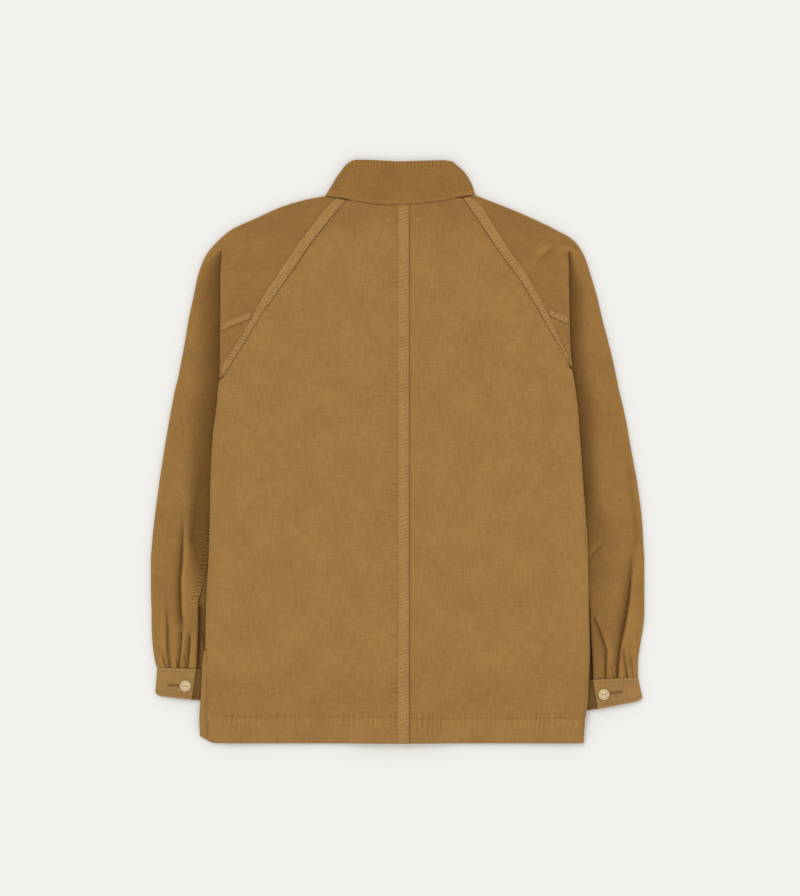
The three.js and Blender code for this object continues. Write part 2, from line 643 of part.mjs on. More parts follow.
// Front, on the underside, from its lapped edge out to the front raglan seam and the side seam
const FRONT_CELLS = { across: 6, beyond: 4 };
const FRONT_STATIONS = [-LAP_HALF, LAP_HALF + 3, 38, 60];
const NECK_EASE = 1.3;
const frontStation = (part, end) => {
  const step = Math.round(part * FRONT_CELLS.across);
  const last = FRONT_STATIONS.length - 1;
  if (step <= last) return FRONT_STATIONS[step];
  return lerp(FRONT_STATIONS[last], end, (step - last) / (FRONT_CELLS.across - last));
};
function addFront({ name, side, raglan }) {
  const sideEdge = lookup(side < 0 ? LEFT_SIDE : RIGHT_SIDE, 'y', 'x');
  const seamIn = BODY_ROLL_RADIUS + CLOTH / 2 + 2;
  const upper = raglan.map((row) => ({ y: row.frontY, armhole: row.frontX, side: row.frontX }));
  const lower = [ARMHOLE_END_Y, ...BODY_ROWS, ...HEM_ROWS].map((y) => {
    const peek = side < 0 && y < VENT_TOP_Y - 1 ? ventEdge(y) : sideEdge(y) - seamIn;
    return { y, armhole: lerp(135, 190, ramp(ARMHOLE_END_Y, HEM_Y, y)), side: peek };
  });
  const rows = [...upper, ...lower];
  const grid = rows.map(({ y, armhole, side: end }, i) => {
    const inner = span(FRONT_CELLS.across, (part) => {
      const x = frontStation(part, armhole);
      const neck = Math.min(upper[0].y, frontNeck(x) - NECK_EASE);
      const down = Math.min(1, (upper[0].y - y) / (upper[0].y - ARMHOLE_END_Y));
      return new THREE.Vector3(x, down < 1 ? lerp(neck, ARMHOLE_END_Y, down) : y, 0);
    });
    const beyond = span(FRONT_CELLS.beyond, (part) => new THREE.Vector3(lerp(armhole, end, part), y, 0));
    const points = [...inner, ...beyond.slice(1)];
    for (const p of points) {
      const flat = i >= upper.length ? Math.min(p.y, ARMHOLE_END_Y) : p.y;
      p.z = frontHeight(side, p.x, flat);
      p.y = hemY(side, p.x, p.y);
    }
    return points;
  });
  const keep = (i, j) => j < FRONT_CELLS.across || i >= upper.length;
  const hemTop = HEM_Y + HEM_HEIGHT + 1;
  const inward = (i) => CLOTH / 2 + (rows[i].y < hemTop ? HEM_EXTRA : 0);
  add(`${name}_front`, wall(mirror(side, grid), { facing: side, keep, inward }), COLOURS.body);
}

// Stand collar: one band round the neck, open at the centre front underneath
const COLLAR_CELLS = { front: 6, fold: 4, back: 12, rows: 3 };
function addCollar() {
  const radius = (COLLAR_BACK_Z - COLLAR_FRONT_Z) / 2;
  const edge = radius + COLLAR_CLOTH / 2;
  const fold = (rows, part) => [lookup(rows, 'part', 'x')(part), lookup(rows, 'part', 'y')(part)];
  const topCurve = lookup(COLLAR_TOP, 'x', 'y');
  const grid = span(COLLAR_CELLS.rows, (part) => {
    const [leftX, leftY] = fold(COLLAR_LEFT_FOLD, part);
    const [rightX, rightY] = fold(COLLAR_RIGHT_FOLD, part);
    const [innerLeft, innerRight] = [leftX + edge, rightX - edge];
    const share = (x) => (x - leftX) / (rightX - leftX);
    const base = (x) => backNeck(lerp(-101.5, 109, share(x)));
    const top = (x) => topCurve(lerp(-73.5, 79, share(x)));
    const backY = (x) => {
      const w = share(x);
      const ends = (1 - w) * (leftY - lerp(base(leftX), top(leftX), part))
        + w * (rightY - lerp(base(rightX), top(rightX), part));
      return lerp(base(x), top(x), part) + ends;
    };
    const frontY = (x) => {
      const low = frontNeck(lerp(-101.5, 109, share(x)));
      const w = Math.abs(2 * share(x) - 1) ** 2.2;
      return lerp(low + 46 * part, x < 0 ? leftY : rightY, ramp(0.6, 1, w));
    };
    const roll = (centre, from, to) => span(COLLAR_CELLS.fold, (turn) => {
      const angle = lerp(from, to, turn) * Math.PI;
      const x = centre + (radius + COLLAR_CLOTH / 2) * Math.cos(angle);
      const height = Math.sin(angle) >= 0 ? backY(x) : frontY(x);
      const z = COLLAR_FRONT_Z + radius + radius * Math.sin(angle);
      return new THREE.Vector3(centre + radius * Math.cos(angle), height, z);
    });
    const flat = (count, from, to, height, z, ease = (turn) => turn) => span(count, (turn) => {
      const x = lerp(from, to, ease(turn));
      return new THREE.Vector3(x, height(x), z);
    });
    const nearEnds = (turn) => lerp(turn, (1 - Math.cos(Math.PI * turn)) / 2, 0.7);
    return [
      ...flat(COLLAR_CELLS.front, 0, innerRight, frontY, COLLAR_FRONT_Z).slice(0, -1),
      ...roll(innerRight, -0.5, 0.5),
      ...flat(COLLAR_CELLS.back, innerRight, innerLeft, backY, COLLAR_BACK_Z, nearEnds).slice(1, -1),
      ...roll(innerLeft, 0.5, 1.5),
      ...flat(COLLAR_CELLS.front, innerLeft, 0, frontY, COLLAR_FRONT_Z).slice(1),
    ];
  });
  const half = COLLAR_CLOTH / 2;
  add('collar', wall(grid, { facing: 1, outward: half, inward: () => half }), COLOURS.collar);
}

// Cuffs, with a rounded lower corner: a lapped band, its button end on top and the other end tucked under it
const UNDERLAP_REACH = 26;
const CUFF_CORNER = { reach: 7, rise: 4.5 };
const CUFF_CELLS = { lap: 8, outer: 4, floor: 5, fold: 4, underlap: 6, rows: 3 };
function addCuff({ name, side }) {
  const [top, bottom] = CUFF_ROWS[name];
  const outerRadius = (CUFF_OUTER_Z - CUFF_FLOOR_Z) / 2;
  const foldRadius = (CUFF_UNDERLAP_Z - CUFF_FLOOR_Z) / 2;
  const half = CUFF_CLOTH / 2;
  const grid = span(CUFF_CELLS.rows, (part) => {
    const row = Object.fromEntries(Object.keys(top).map((key) => [key, lerp(top[key], bottom[key], part)]));
    const { lapX, outX, hiddenX } = row;
    const y = bandLine(row);
    const corner = (x) => Math.max(0, (x - outX + CUFF_CORNER.reach) / CUFF_CORNER.reach) ** 2;
    const point = (x, z) => new THREE.Vector3(x, y(x) + CUFF_CORNER.rise * corner(x) * part ** 3, z);
    const outerCentre = outX - outerRadius - half;
    const foldCentre = hiddenX + foldRadius + half;
    return [
      ...span(CUFF_CELLS.lap, (n) => {
        const x = lerp(lapX, outerCentre, n);
        return point(x, lerp(CUFF_LAP_Z, CUFF_OUTER_Z, ramp(lapX + UNDERLAP_REACH + 2, outerCentre, x)));
      }),
      ...span(CUFF_CELLS.outer, (n) => {
        const angle = Math.PI * (0.5 - n);
        const z = CUFF_FLOOR_Z + outerRadius * (1 + Math.sin(angle));
        return point(outerCentre + outerRadius * Math.cos(angle), z);
      }).slice(1),
      ...span(CUFF_CELLS.floor, (n) => point(lerp(outerCentre, foldCentre, n), CUFF_FLOOR_Z)).slice(1),
      ...span(CUFF_CELLS.fold, (n) => {
        const angle = Math.PI * (1.5 - n);
        const z = CUFF_FLOOR_Z + foldRadius * (1 + Math.sin(angle));
        return point(foldCentre + foldRadius * Math.cos(angle), z);
      }).slice(1),
      ...span(CUFF_CELLS.underlap, (n) => (
        point(lerp(foldCentre, lapX + UNDERLAP_REACH, n), CUFF_UNDERLAP_Z)
      )).slice(1),
    ];
  });
  const geometry = wall(mirror(side, grid), { facing: -side, outward: half, inward: () => half });
  add(`${name}_cuff`, geometry, COLOURS.body);
}

// A round button with a raised rim, its face at the top of the profile
function buttonGeometry({ radius, thick }) {
  const rim = radius * 0.76;
  const dish = thick * 0.72;
  const profile = [
    [0, 0], [radius * 0.8, 0], [radius, thick * 0.35], [radius, thick * 0.75], [radius * 0.94, thick],
    [rim, thick], [rim * 0.9, dish], [0, dish],
  ].map(([x, y]) => new THREE.Vector2(x, y));
  const geometry = new THREE.LatheGeometry(profile, 16);
  geometry.rotateX(Math.PI / 2);
  return geometry;
}

function toManifold(geometry) {
  const bare = geometry.clone();
  bare.deleteAttribute('normal');
  bare.deleteAttribute('uv');
  const merged = mergeVertices(bare, 1e-4);
  const index = merged.index.array;
  const faces = [];
  for (let n = 0; n < index.length; n += 3) {
    const [a, b, c] = [index[n], index[n + 1], index[n + 2]];
    if (a !== b && b !== c && a !== c) faces.push(a, b, c);
  }
  const mesh = new wasm.Mesh({
    numProp: 3,
    vertProperties: merged.attributes.position.array,
    triVerts: new Uint32Array(faces),
  });
  return new wasm.Manifold(mesh);
}

function fromManifold(solid) {
  const mesh = solid.getMesh();
  const geometry = new THREE.BufferGeometry();
  geometry.setAttribute('position', new THREE.BufferAttribute(mesh.vertProperties, 3));
  geometry.setIndex(new THREE.BufferAttribute(mesh.triVerts, 1));
  return geometry;
}

const CUFF_BUTTON_PLACES = { left: [-297, -328.3], right: [289, -340.2] };
function addCuffButton({ name }) {
  const { radius, thick, holeRadius, holeOffset } = CUFF_BUTTON;
  let solid = toManifold(buttonGeometry({ radius, thick }));
  for (const sign of [-1, 1]) {
    const hole = new THREE.CylinderGeometry(holeRadius, holeRadius, thick * 3, 8);
    hole.rotateX(Math.PI / 2);
    hole.translate(sign * holeOffset, 0, 0);
    solid = solid.subtract(toManifold(hole));
  }
  const geometry = fromManifold(solid);
  const [x, y] = CUFF_BUTTON_PLACES[name];
  geometry.translate(x, y, CUFF_LAP_Z + CUFF_CLOTH / 2 + GAP);
  add(`${name}_cuff_button`, geometry, COLOURS.button, 0.35);
}

// Front buttons lie face down under the left front's lapped edge
function addFrontButtons() {
  for (let n = 0; n < FRONT_BUTTONS; n += 1) {
    const geometry = fromManifold(toManifold(buttonGeometry(FRONT_BUTTON)));
    geometry.rotateX(Math.PI);
    const y = lerp(FIRST_BUTTON_Y, LAST_BUTTON_Y, n / (FRONT_BUTTONS - 1));
    geometry.translate(0, y, FRONT_BUTTON.thick);
    add(`front_button_${n + 1}`, geometry, COLOURS.button, 0.35);
  }
}

const backGrids = SIDES.map(addBack);
addCentreSeam(backGrids[0]);
SIDES.forEach(addFront);
addCollar();
SIDES.forEach(addSleeve);
SIDES.forEach(addUnderSleeve);
SIDES.forEach(addCuff);
SIDES.forEach(addCuffButton);
addFrontButtons();

export default garment;
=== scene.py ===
# %% [markdown]
# A corduroy jacket laid flat with its back up. The frame holds every piece at its real
# size and place. Here each piece of cloth is rebuilt on the same form with a fine
# surface: soft creases, puckered seams, rows of stitches and the ribs of the corduroy.

# %% Load the frame
import json
import math

import bmesh
import bpy
import numpy as np
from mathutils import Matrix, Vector
from mathutils.bvhtree import BVHTree

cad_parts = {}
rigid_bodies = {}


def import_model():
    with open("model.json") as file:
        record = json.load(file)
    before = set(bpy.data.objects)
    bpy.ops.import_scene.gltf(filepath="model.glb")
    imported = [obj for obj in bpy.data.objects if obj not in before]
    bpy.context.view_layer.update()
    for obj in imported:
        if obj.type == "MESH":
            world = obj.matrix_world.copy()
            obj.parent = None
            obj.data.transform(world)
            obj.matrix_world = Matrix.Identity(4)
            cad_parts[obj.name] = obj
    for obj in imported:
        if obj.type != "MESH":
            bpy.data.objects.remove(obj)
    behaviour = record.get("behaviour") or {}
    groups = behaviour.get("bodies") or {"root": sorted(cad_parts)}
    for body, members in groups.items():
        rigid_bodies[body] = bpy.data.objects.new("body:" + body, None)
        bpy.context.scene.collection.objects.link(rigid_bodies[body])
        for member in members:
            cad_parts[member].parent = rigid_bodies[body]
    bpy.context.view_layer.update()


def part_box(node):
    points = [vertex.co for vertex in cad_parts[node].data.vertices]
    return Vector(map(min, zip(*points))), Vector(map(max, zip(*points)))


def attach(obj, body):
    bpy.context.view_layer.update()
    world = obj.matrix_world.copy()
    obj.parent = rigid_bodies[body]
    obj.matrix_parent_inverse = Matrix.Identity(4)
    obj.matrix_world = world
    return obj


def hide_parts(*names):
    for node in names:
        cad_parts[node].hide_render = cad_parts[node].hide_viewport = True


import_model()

MM = 0.001
bpy.ops.object.select_all(action="DESELECT")

# %% [markdown]
# The camera comes first. The photograph looks straight down, and one of its pixels is
# 1.4 mm of cloth, so its height of 896 pixels fixes how far away a long lens stands.

# %% Camera
PIXEL_MM = 1.4
VIEW_HEIGHT_MM = 896 * PIXEL_MM
VIEW_CENTRE_MM = (3.5, 4.9)
CLOTH_TOP_MM = 9.0
LENS_MM = 100.0
SENSOR_MM = 36.0

camera_data = bpy.data.cameras.new("photo_camera")
camera_data.lens = LENS_MM
camera_data.sensor_width = SENSOR_MM
camera_data.sensor_fit = "AUTO"
camera_data.clip_start = 0.1
camera_data.clip_end = 20.0
camera = bpy.data.objects.new("photo_camera", camera_data)
bpy.context.scene.collection.objects.link(camera)
camera_height = LENS_MM / SENSOR_MM * VIEW_HEIGHT_MM + CLOTH_TOP_MM
camera.location = [c * MM for c in (*VIEW_CENTRE_MM, camera_height)]
bpy.context.scene.camera = camera
print(f"camera {camera_height:.0f} mm above the floor")

# %% [markdown]
# Small helpers. A table is a list of rows with named columns, a ramp is a soft step
# between two values, and a lookup reads one column of a table at any place between rows.

# %% Helpers
def table(columns, rows):
    """Rows of a short table, each a dictionary with the columns' names."""
    return [dict(zip(columns.split(), row)) for row in rows]


def lookup(rows, key, name):
    """A function that reads a column at any value of the key column."""
    ordered = sorted(rows, key=lambda row: row[key])
    keys = np.array([row[key] for row in ordered], float)
    values = np.array([row[name] for row in ordered], float)
    return lambda value: np.interp(value, keys, values)


def ramp(start, end, value):
    """0 before start, 1 after end, and a soft step between."""
    part = np.clip((np.asarray(value, float) - start) / (end - start), 0, 1)
    return part * part * (3 - 2 * part)


def lerp(a, b, part):
    return a + (b - a) * part


def bell(value, width):
    """1 where the value is zero, dying away on both sides over a width."""
    return np.exp(-((value / width) ** 2))


def stripes(place, pitch):
    """A wave from -1 to 1 that repeats every pitch."""
    return np.sin(2 * math.pi * place / pitch)


def uneven(place, *shifts):
    """A place pushed to and fro by waves, each with a size, a length and a phase."""
    total = place
    for size, length, phase in shifts:
        total = total + size * np.sin(place / length + phase)
    return total


def half_turn(cells, start, radius, x, z):
    """X and Z of points round half a turn of cloth, from start in half turns."""
    for n in range(1, cells + 1):
        angle = math.pi * (start - n / cells)
        yield x + radius * math.cos(angle), z + radius * math.sin(angle)


# %% [markdown]
# The sizes of the real jacket, in millimetres, as the frame has them. X counts outward
# from the middle in the side tables, and Y runs from the hem up to the collar. What both
# sleeves have in common, the front seam and the shoulder's fold, is in a table of its own.

# %% Sizes
CLOTH = 1.4
GAP = 0.3
STRIP = 1.2
COLLAR_CLOTH = 2.6
CUFF_CLOTH = 2.0
FLOOR_Z = CLOTH / 2
SLEEVE_TOP_Z = 5.1
FRONT_OVER_SLEEVE_Z = 7.0
BODY_ROLL_RADIUS = 2.2
LOW_BACK_Z = 5.1
SIDE_RISE = FRONT_OVER_SLEEVE_Z + 2 * BODY_ROLL_RADIUS - LOW_BACK_Z
LEFT_FRONT_LIFT = 2.9
RIGHT_FRONT_LIFT = LEFT_FRONT_LIFT + CLOTH + GAP
CENTRE_BACK_LIFT = 4.1
SLEEVE_ROLL_RADIUS = (SLEEVE_TOP_Z - FLOOR_Z) / 2
BEND_RADIUS = 0.95
UNDERLAP_Z = 3.4
HEM_EXTRA = 1.0
COLLAR_FRONT_Z = COLLAR_CLOTH / 2
COLLAR_BACK_Z = 5.4
CUFF_FLOOR_Z = CUFF_CLOTH / 2
CUFF_UNDERLAP_Z = 4.2
CUFF_LAP_Z = 6.5
CUFF_OUTER_Z = 4.6
CENTRE_SEAM_X = 16
LAP_HALF = 16
ARMHOLE_END_Y = 93
HEM_Y = -409
HEM_HEIGHT = 30
VENT_TOP_Y = -276
VENT_SINK = 2.6
NECK_FRONT_Y = 300
NECK_HALF = 103
NECK_RISE = 57
NECK_DROP = 0.9
NECK_EASE = 1.3
NECK_POWER = 2.2
NECK_TOP_Y = 346
RAGLAN_END_Y = 95
HEM_STITCH_Y = -366
PLACKET_END_X = 58
HEM_SINK_SHARE = 0.72
CUFF_SLIT_Y = -216
SLIT_LAP = 6
RAGLAN_STRIP_WIDTH = 15
ELBOW_STRIP_WIDTH = 10
CENTRE_STRIP_WIDTH = 15
STRIP_SHARE = 0.92

RAGLAN = "inX inY crestX crestY outX outY"
RAGLAN_ROWS = {
    "left": table(RAGLAN, [
        (72, 352, 87, 355, 101.5, 358), (84, 339, 108, 346, 130, 352.5),
        (97, 323, 132, 333.5, 162, 343), (110, 306.5, 160, 317.5, 198, 327),
        (124, 288.5, 190, 301.5, 234, 310), (138, 268, 234, 284, 254, 293),
        (151, 249, 247, 265, 268, 276), (164, 230, 248, 240, 279.5, 248),
        (177, 211, 248, 209, 286.5, 215), (190.5, 192.5, 248, 168.5, 293, 185),
        (204, 170, 248.3, 151, 298.5, 152), (219, 145, 248.4, 134, 304, 122),
        (243, 107.5, 248.5, 101, 309, 98),
    ]),
    "right": table(RAGLAN, [
        (92, 355, 100, 357, 109.5, 359), (100.5, 343, 117, 349, 131, 350.5),
        (109.5, 330, 137, 337, 159, 339.5), (119, 316, 160, 323, 188, 327),
        (129.5, 300, 186, 306.5, 222, 310.5), (139, 286, 228, 284, 247, 296),
        (151, 269, 240, 266, 261, 276), (164, 252, 240, 245, 271, 247),
        (178, 231, 240.5, 215, 280, 216), (199, 196, 241, 177, 288, 182),
        (207, 182, 241.5, 161, 296, 152), (217, 164, 242, 142, 303, 122),
        (238, 131, 243.5, 116, 308, 98),
    ]),
}
RAGLAN_BOTH = table("frontX frontY rise depth", [
    (84, 337, 0, 0), (88, 324, 0, 0), (93, 308, 0, 0), (98, 291, 0, 0),
    (103, 273, 0, 0), (108, 253, 0.8, -8), (112, 233, 3.6, 0.6), (116, 211, 4.4, 3),
    (121, 188, 5.2, 11), (125, 166, 6, 18), (128, 145, 6.3, 22), (131, 124, 6.3, 25),
    (135, 98, 6.3, 26),
])
for rows in RAGLAN_ROWS.values():
    for row, both in zip(rows, RAGLAN_BOTH):
        row.update(both)
LOWER = "y seamX outX hiddenX"
LOWER_ROWS = {
    "left": table(LOWER, [
        (93, 222, 310.5, 135), (50, 226, 319, 148), (0, 238, 327.5, 160), (-50, 248, 335, 171),
        (-100, 255, 341.5, 181), (-125, 259, 344, 186), (-155, 265, 346, 190),
        (-185, 271.5, 346, 195), (-212, 278.5, 345.5, 200), (-222, 279, 345, 202),
        (-240, 279, 345, 206), (-256, 279.5, 344.5, 211), (-270, 280, 343.5, 216),
        (-283, 280.5, 342, 222), (-294, 281, 340, 226), (-302, 281.5, 337.5, 229),
    ]),
    "right": table(LOWER, [
        (93, 217, 309, 135), (50, 224, 319, 148), (0, 235, 328, 160), (-50, 246, 337, 171),
        (-100, 256, 343, 181), (-125, 259, 344.5, 186), (-155, 262, 346, 190),
        (-185, 265, 346, 195), (-212, 268, 346, 200), (-224, 269.5, 346, 202),
        (-242, 270, 345, 206), (-260, 271, 342, 211), (-276, 272, 339.5, 216),
        (-291, 273, 337.5, 220), (-303, 273.5, 337, 223), (-315, 274, 337.4, 225),
    ]),
}
SIDE_EDGE = {
    "left": table("y x", [
        (100, 249.5), (83, 251), (2, 261), (-138, 264), (-208, 268), (-278, 269.5),
        (-320, 270), (-348, 270), (-408, 268),
    ]),
    "right": table("y x", [
        (116, 244.5), (100, 247), (58, 253), (2, 257), (-75, 262.5), (-138, 267), (-208, 268),
        (-278, 269.5), (-348, 267), (-370, 263), (-408, 261),
    ]),
}
BACK_NECK = table("x y", [
    (-101.5, 358), (-77.7, 355), (-51, 349.4), (-22, 346), (12, 345.4), (42, 348.6),
    (69, 352.5), (92, 358), (109, 359.4),
])
COLLAR_TOP = table("x y", [
    (-73.5, 397.5), (-70, 403), (-66, 406.8), (-58, 409), (-50, 409.3), (-22, 408),
    (3.5, 406.7), (45.5, 408), (64, 408.4), (72, 407.6), (76, 406.2), (79, 404.3),
])
COLLAR_FOLD = {
    "left": table("part x y", [
        (0, -101.5, 358), (0.25, -94.5, 368), (0.55, -89, 381), (0.85, -78.5, 390),
        (1, -73.5, 397.5),
    ]),
    "right": table("part x y", [
        (0, 109, 359.4), (0.45, 101.5, 381.5), (0.8, 90, 396), (1, 79, 404.3),
    ]),
}
CUFF = "lapX lapY outX outY hiddenX hiddenY"
CUFF_ROWS = {
    "left": table(CUFF, [
        (282, -304.5, 337, -302.5, 229, -307), (288.4, -348, 339.8, -342, 234, -352),
    ]),
    "right": table(CUFF, [
        (273.7, -319.5, 337.4, -316, 225, -324), (280.3, -361, 343.7, -349, 232, -368),
    ]),
}
UNDERLAP_REACH = 26
CUFF_CORNER_REACH = 7
CUFF_CORNER_RISE = 4.5
VENT_EDGE = table("y x", [
    (-277, 269.8), (-302, 273), (-324, 274.8), (-348, 276), (-372, 278), (-400, 277),
])
HEM_CORNER_START_X = 253
HEM_CORNER_END_X = 277
HEM_CORNER_RISE = 9.7
HEM_CORNER_POWER = 1.7
BACK_REST = table("y start end share", [
    (281, 140, 255, 0), (200, 130, 252, 0.55), (140, 90, 215, 0.9), (93, 50, 165, 1),
    (-208, 105, 235, 1), (-304, 130, 258, 1),
])
HIDDEN_EDGE = table("y x", [(93, 135), (-208, 200), (-304, 230)])

# %% [markdown]
# Laid out, the panels lie on each other: the sleeves fold in under the body, the fronts
# lie over them, and the back rests on top. These functions give the height of the middle
# of each wall, the same as in the frame's solids.

# %% Heights of the layers
hidden_edge = lookup(HIDDEN_EDGE, "y", "x")
rest_start, rest_end, rest_share = (lookup(BACK_REST, "y", key) for key in ("start", "end", "share"))
back_neck = lookup(BACK_NECK, "x", "y")
collar_top = lookup(COLLAR_TOP, "x", "y")
vent_edge = lookup(VENT_EDGE, "y", "x")
side_edge = {name: lookup(rows, "y", "x") for name, rows in SIDE_EDGE.items()}
elbow_seam = {name: lookup(rows, "y", "seamX") for name, rows in LOWER_ROWS.items()}


def front_neck(x):
    return NECK_FRONT_Y + NECK_RISE * np.minimum(1, np.abs(x) / NECK_HALF) ** NECK_POWER


def hem_drop(y):
    """Below the cuffs nothing lies under the body, so it sinks towards the floor."""
    return 1 - HEM_SINK_SHARE * ramp(-370, -405, y)


def hem_lift(y):
    """The turned-up hems are thicker, so what lies over them is lifted."""
    return HEM_EXTRA * ramp(-335, -372, y)


def front_height(side, x, y):
    across = np.abs(x)
    armhole = ramp(128, ARMHOLE_END_Y, y) if y > ARMHOLE_END_Y else 1.0
    over = ramp(hidden_edge(y) - 50, hidden_edge(y) - 7, across) * armhole * hem_drop(y)
    lift = LEFT_FRONT_LIFT if side < 0 else RIGHT_FRONT_LIFT + hem_lift(y)
    placket = (lift - NECK_DROP * ramp(284, 300, y)) * (1 - ramp(20, PLACKET_END_X, across))
    return FLOOR_Z + (FRONT_OVER_SLEEVE_Z - FLOOR_Z) * over + placket


def back_height(x, y):
    across = np.abs(x)
    side = SIDE_RISE * rest_share(y) * ramp(rest_start(y), rest_end(y), across)
    centre = CENTRE_BACK_LIFT * (1 - ramp(24, 95, across)) * ramp(NECK_TOP_Y, 262, y)
    lift = hem_lift(y) * lerp(1.5, 0.6, ramp(30, 120, across))
    return LOW_BACK_Z + side * hem_drop(y) + centre + lift


def vent_sink(side, x, y):
    """At the vent the back sinks onto the front, less so at the thicker hems."""
    if side > 0:
        return 0.0
    return VENT_SINK * ramp(245, 268, x) * ramp(-268, -290, y) * lerp(1, 0.4, ramp(-340, -376, y))


def hem_y(side, x, y):
    """The hem is rounded up to the vent's edge."""
    if side > 0 or y > HEM_Y or x < HEM_CORNER_START_X:
        return y
    part = (x - HEM_CORNER_START_X) / (HEM_CORNER_END_X - HEM_CORNER_START_X)
    return y + HEM_CORNER_RISE * part**HEM_CORNER_POWER


def band_line(row, x):
    """The height down the sleeve of a cuff's edge."""
    if x > row["lapX"]:
        return lerp(row["lapY"], row["outY"], (x - row["lapX"]) / (row["outX"] - row["lapX"]))
    return lerp(row["hiddenY"], row["lapY"], (x - row["hiddenX"]) / (row["lapX"] - row["hiddenX"]))


def end_on_cuff(name, points):
    """The last row of a sleeve follows the top edge of its cuff."""
    top = CUFF_ROWS[name][0]
    return [(p[0], band_line(top, p[0]), p[2]) for p in points]


# %% [markdown]
# A sleeve is worked out from sections across it. Near the shoulder the cloth folds over
# itself beside the body, so a section runs out to the crest of the fold, back under it,
# out again to the outline, round the edge and home along the floor.

# %% Sections of the sleeves
CELLS = dict(shoulder=5, crest=4, fold=2, bend=3, top=11, outer=5, floor=2)
BEND_START = CELLS["shoulder"] + CELLS["crest"] + CELLS["fold"]
TOP_START = BEND_START + CELLS["bend"]
OUTER_START = TOP_START + CELLS["top"]
FOREARM_SHARE = 0.72
SLOPE_SHARE = 0.25
ELBOW_ROW = 9


def on_line(start, end, distance, z):
    """A point a distance along a line in plan, at a height."""
    along = np.array([end[0] - start[0], end[1] - start[1]], float)
    along /= np.linalg.norm(along)
    return np.array([start[0] + along[0] * distance, start[1] + along[1] * distance, z])


def span(count, make, skip=0):
    return [make(n / count) for n in range(skip, count + 1)]


def outer_roll(start, out, front):
    """Over the outer edge and back along the floor."""
    reach = math.hypot(out[0] - start[0], out[1] - start[1])
    centre = reach - SLEEVE_ROLL_RADIUS - CLOTH / 2
    middle = (SLEEVE_TOP_Z + FLOOR_Z) / 2

    def roll(part):
        angle = math.pi * (0.5 - part)
        along = centre + SLEEVE_ROLL_RADIUS * math.cos(angle)
        return on_line(start, out, along, middle + SLEEVE_ROLL_RADIUS * math.sin(angle))

    points = span(CELLS["outer"], roll)
    last = points[-1]
    points += span(
        CELLS["floor"],
        lambda part: np.array([lerp(last[0], front[0], part), lerp(last[1], front[1], part), FLOOR_Z]),
        skip=1,
    )
    return points


def raglan_section(row):
    """From the back seam over the shoulder fold to the front seam underneath."""
    start = (row["inX"], row["inY"])
    crest = (row["crestX"], row["crestY"])
    out = (row["outX"], row["outY"])
    start_z = float(back_height(row["inX"], row["inY"]))
    crest_z = SLEEVE_TOP_Z + row["rise"]
    shoulder = math.hypot(crest[0] - start[0], crest[1] - start[1])
    fold_cells = CELLS["crest"] + CELLS["fold"] + CELLS["bend"]

    def rise(part):
        return lerp(start_z, crest_z, float(ramp(0, 1, part)))

    if row["depth"] <= 0:
        flat = -row["depth"] / 2
        beyond = math.hypot(out[0] - crest[0], out[1] - crest[1])
        slope = flat + max(flat, beyond * SLOPE_SHARE)
        base = on_line(start, crest, shoulder - flat, 0)[:2]
        points = span(
            CELLS["shoulder"], lambda p: on_line(start, crest, (shoulder - flat) * p, rise(p))
        )
        points += span(
            fold_cells,
            lambda p: on_line(base, out, slope * p, crest_z - row["rise"] * float(ramp(0, 1, p))),
            skip=1,
        )
    else:
        radius = (row["rise"] - 2 * BEND_RADIUS) / 2
        centre = shoulder - radius - CLOTH / 2
        base = on_line(start, crest, centre, 0)[:2]
        fold_z = crest_z - 2 * radius
        points = span(CELLS["shoulder"], lambda p: on_line(start, crest, centre * p, rise(p)))
        points += span(CELLS["crest"], lambda p: on_line(
            base, out, radius * math.cos(math.pi * (0.5 - p)),
            crest_z - radius + radius * math.sin(math.pi * (0.5 - p)),
        ), skip=1)
        points += span(CELLS["fold"], lambda p: on_line(base, out, -row["depth"] * p, fold_z), skip=1)
        points += span(CELLS["bend"], lambda p: on_line(
            base, out, -row["depth"] + BEND_RADIUS * math.cos(math.pi * (0.5 + p)),
            fold_z - BEND_RADIUS + BEND_RADIUS * math.sin(math.pi * (0.5 + p)),
        ), skip=1)
    last = points[-1][:2]
    reach = math.hypot(out[0] - last[0], out[1] - last[1]) - SLEEVE_ROLL_RADIUS - CLOTH / 2
    points += span(CELLS["top"], lambda p: on_line(last, out, reach * p, SLEEVE_TOP_Z), skip=1)
    points += outer_roll(last, out, (row["frontX"], row["frontY"]))[1:]
    return points


def lower_section(row):
    """Below the underarm: from the elbow seam over the outer edge to the forearm seam."""
    start = (row["seamX"], row["y"])
    out = (row["outX"], row["y"])
    reach = row["outX"] - row["seamX"] - SLEEVE_ROLL_RADIUS - CLOTH / 2
    points = [np.array([row["seamX"], row["y"], SLEEVE_TOP_Z])] * TOP_START
    points += span(CELLS["top"], lambda p: on_line(start, out, reach * p, SLEEVE_TOP_Z))
    floor_end = lerp(row["outX"], row["hiddenX"], FOREARM_SHARE)
    points += outer_roll(start, out, (floor_end, row["y"]))[1:]
    return points


# %% [markdown]
# The sections are few, so a finer surface is drawn through them: first along each
# section, then from one to the next, with curves that never swing past their points.

# %% A finer surface through the sections
SMALLEST_CELL = 0.05


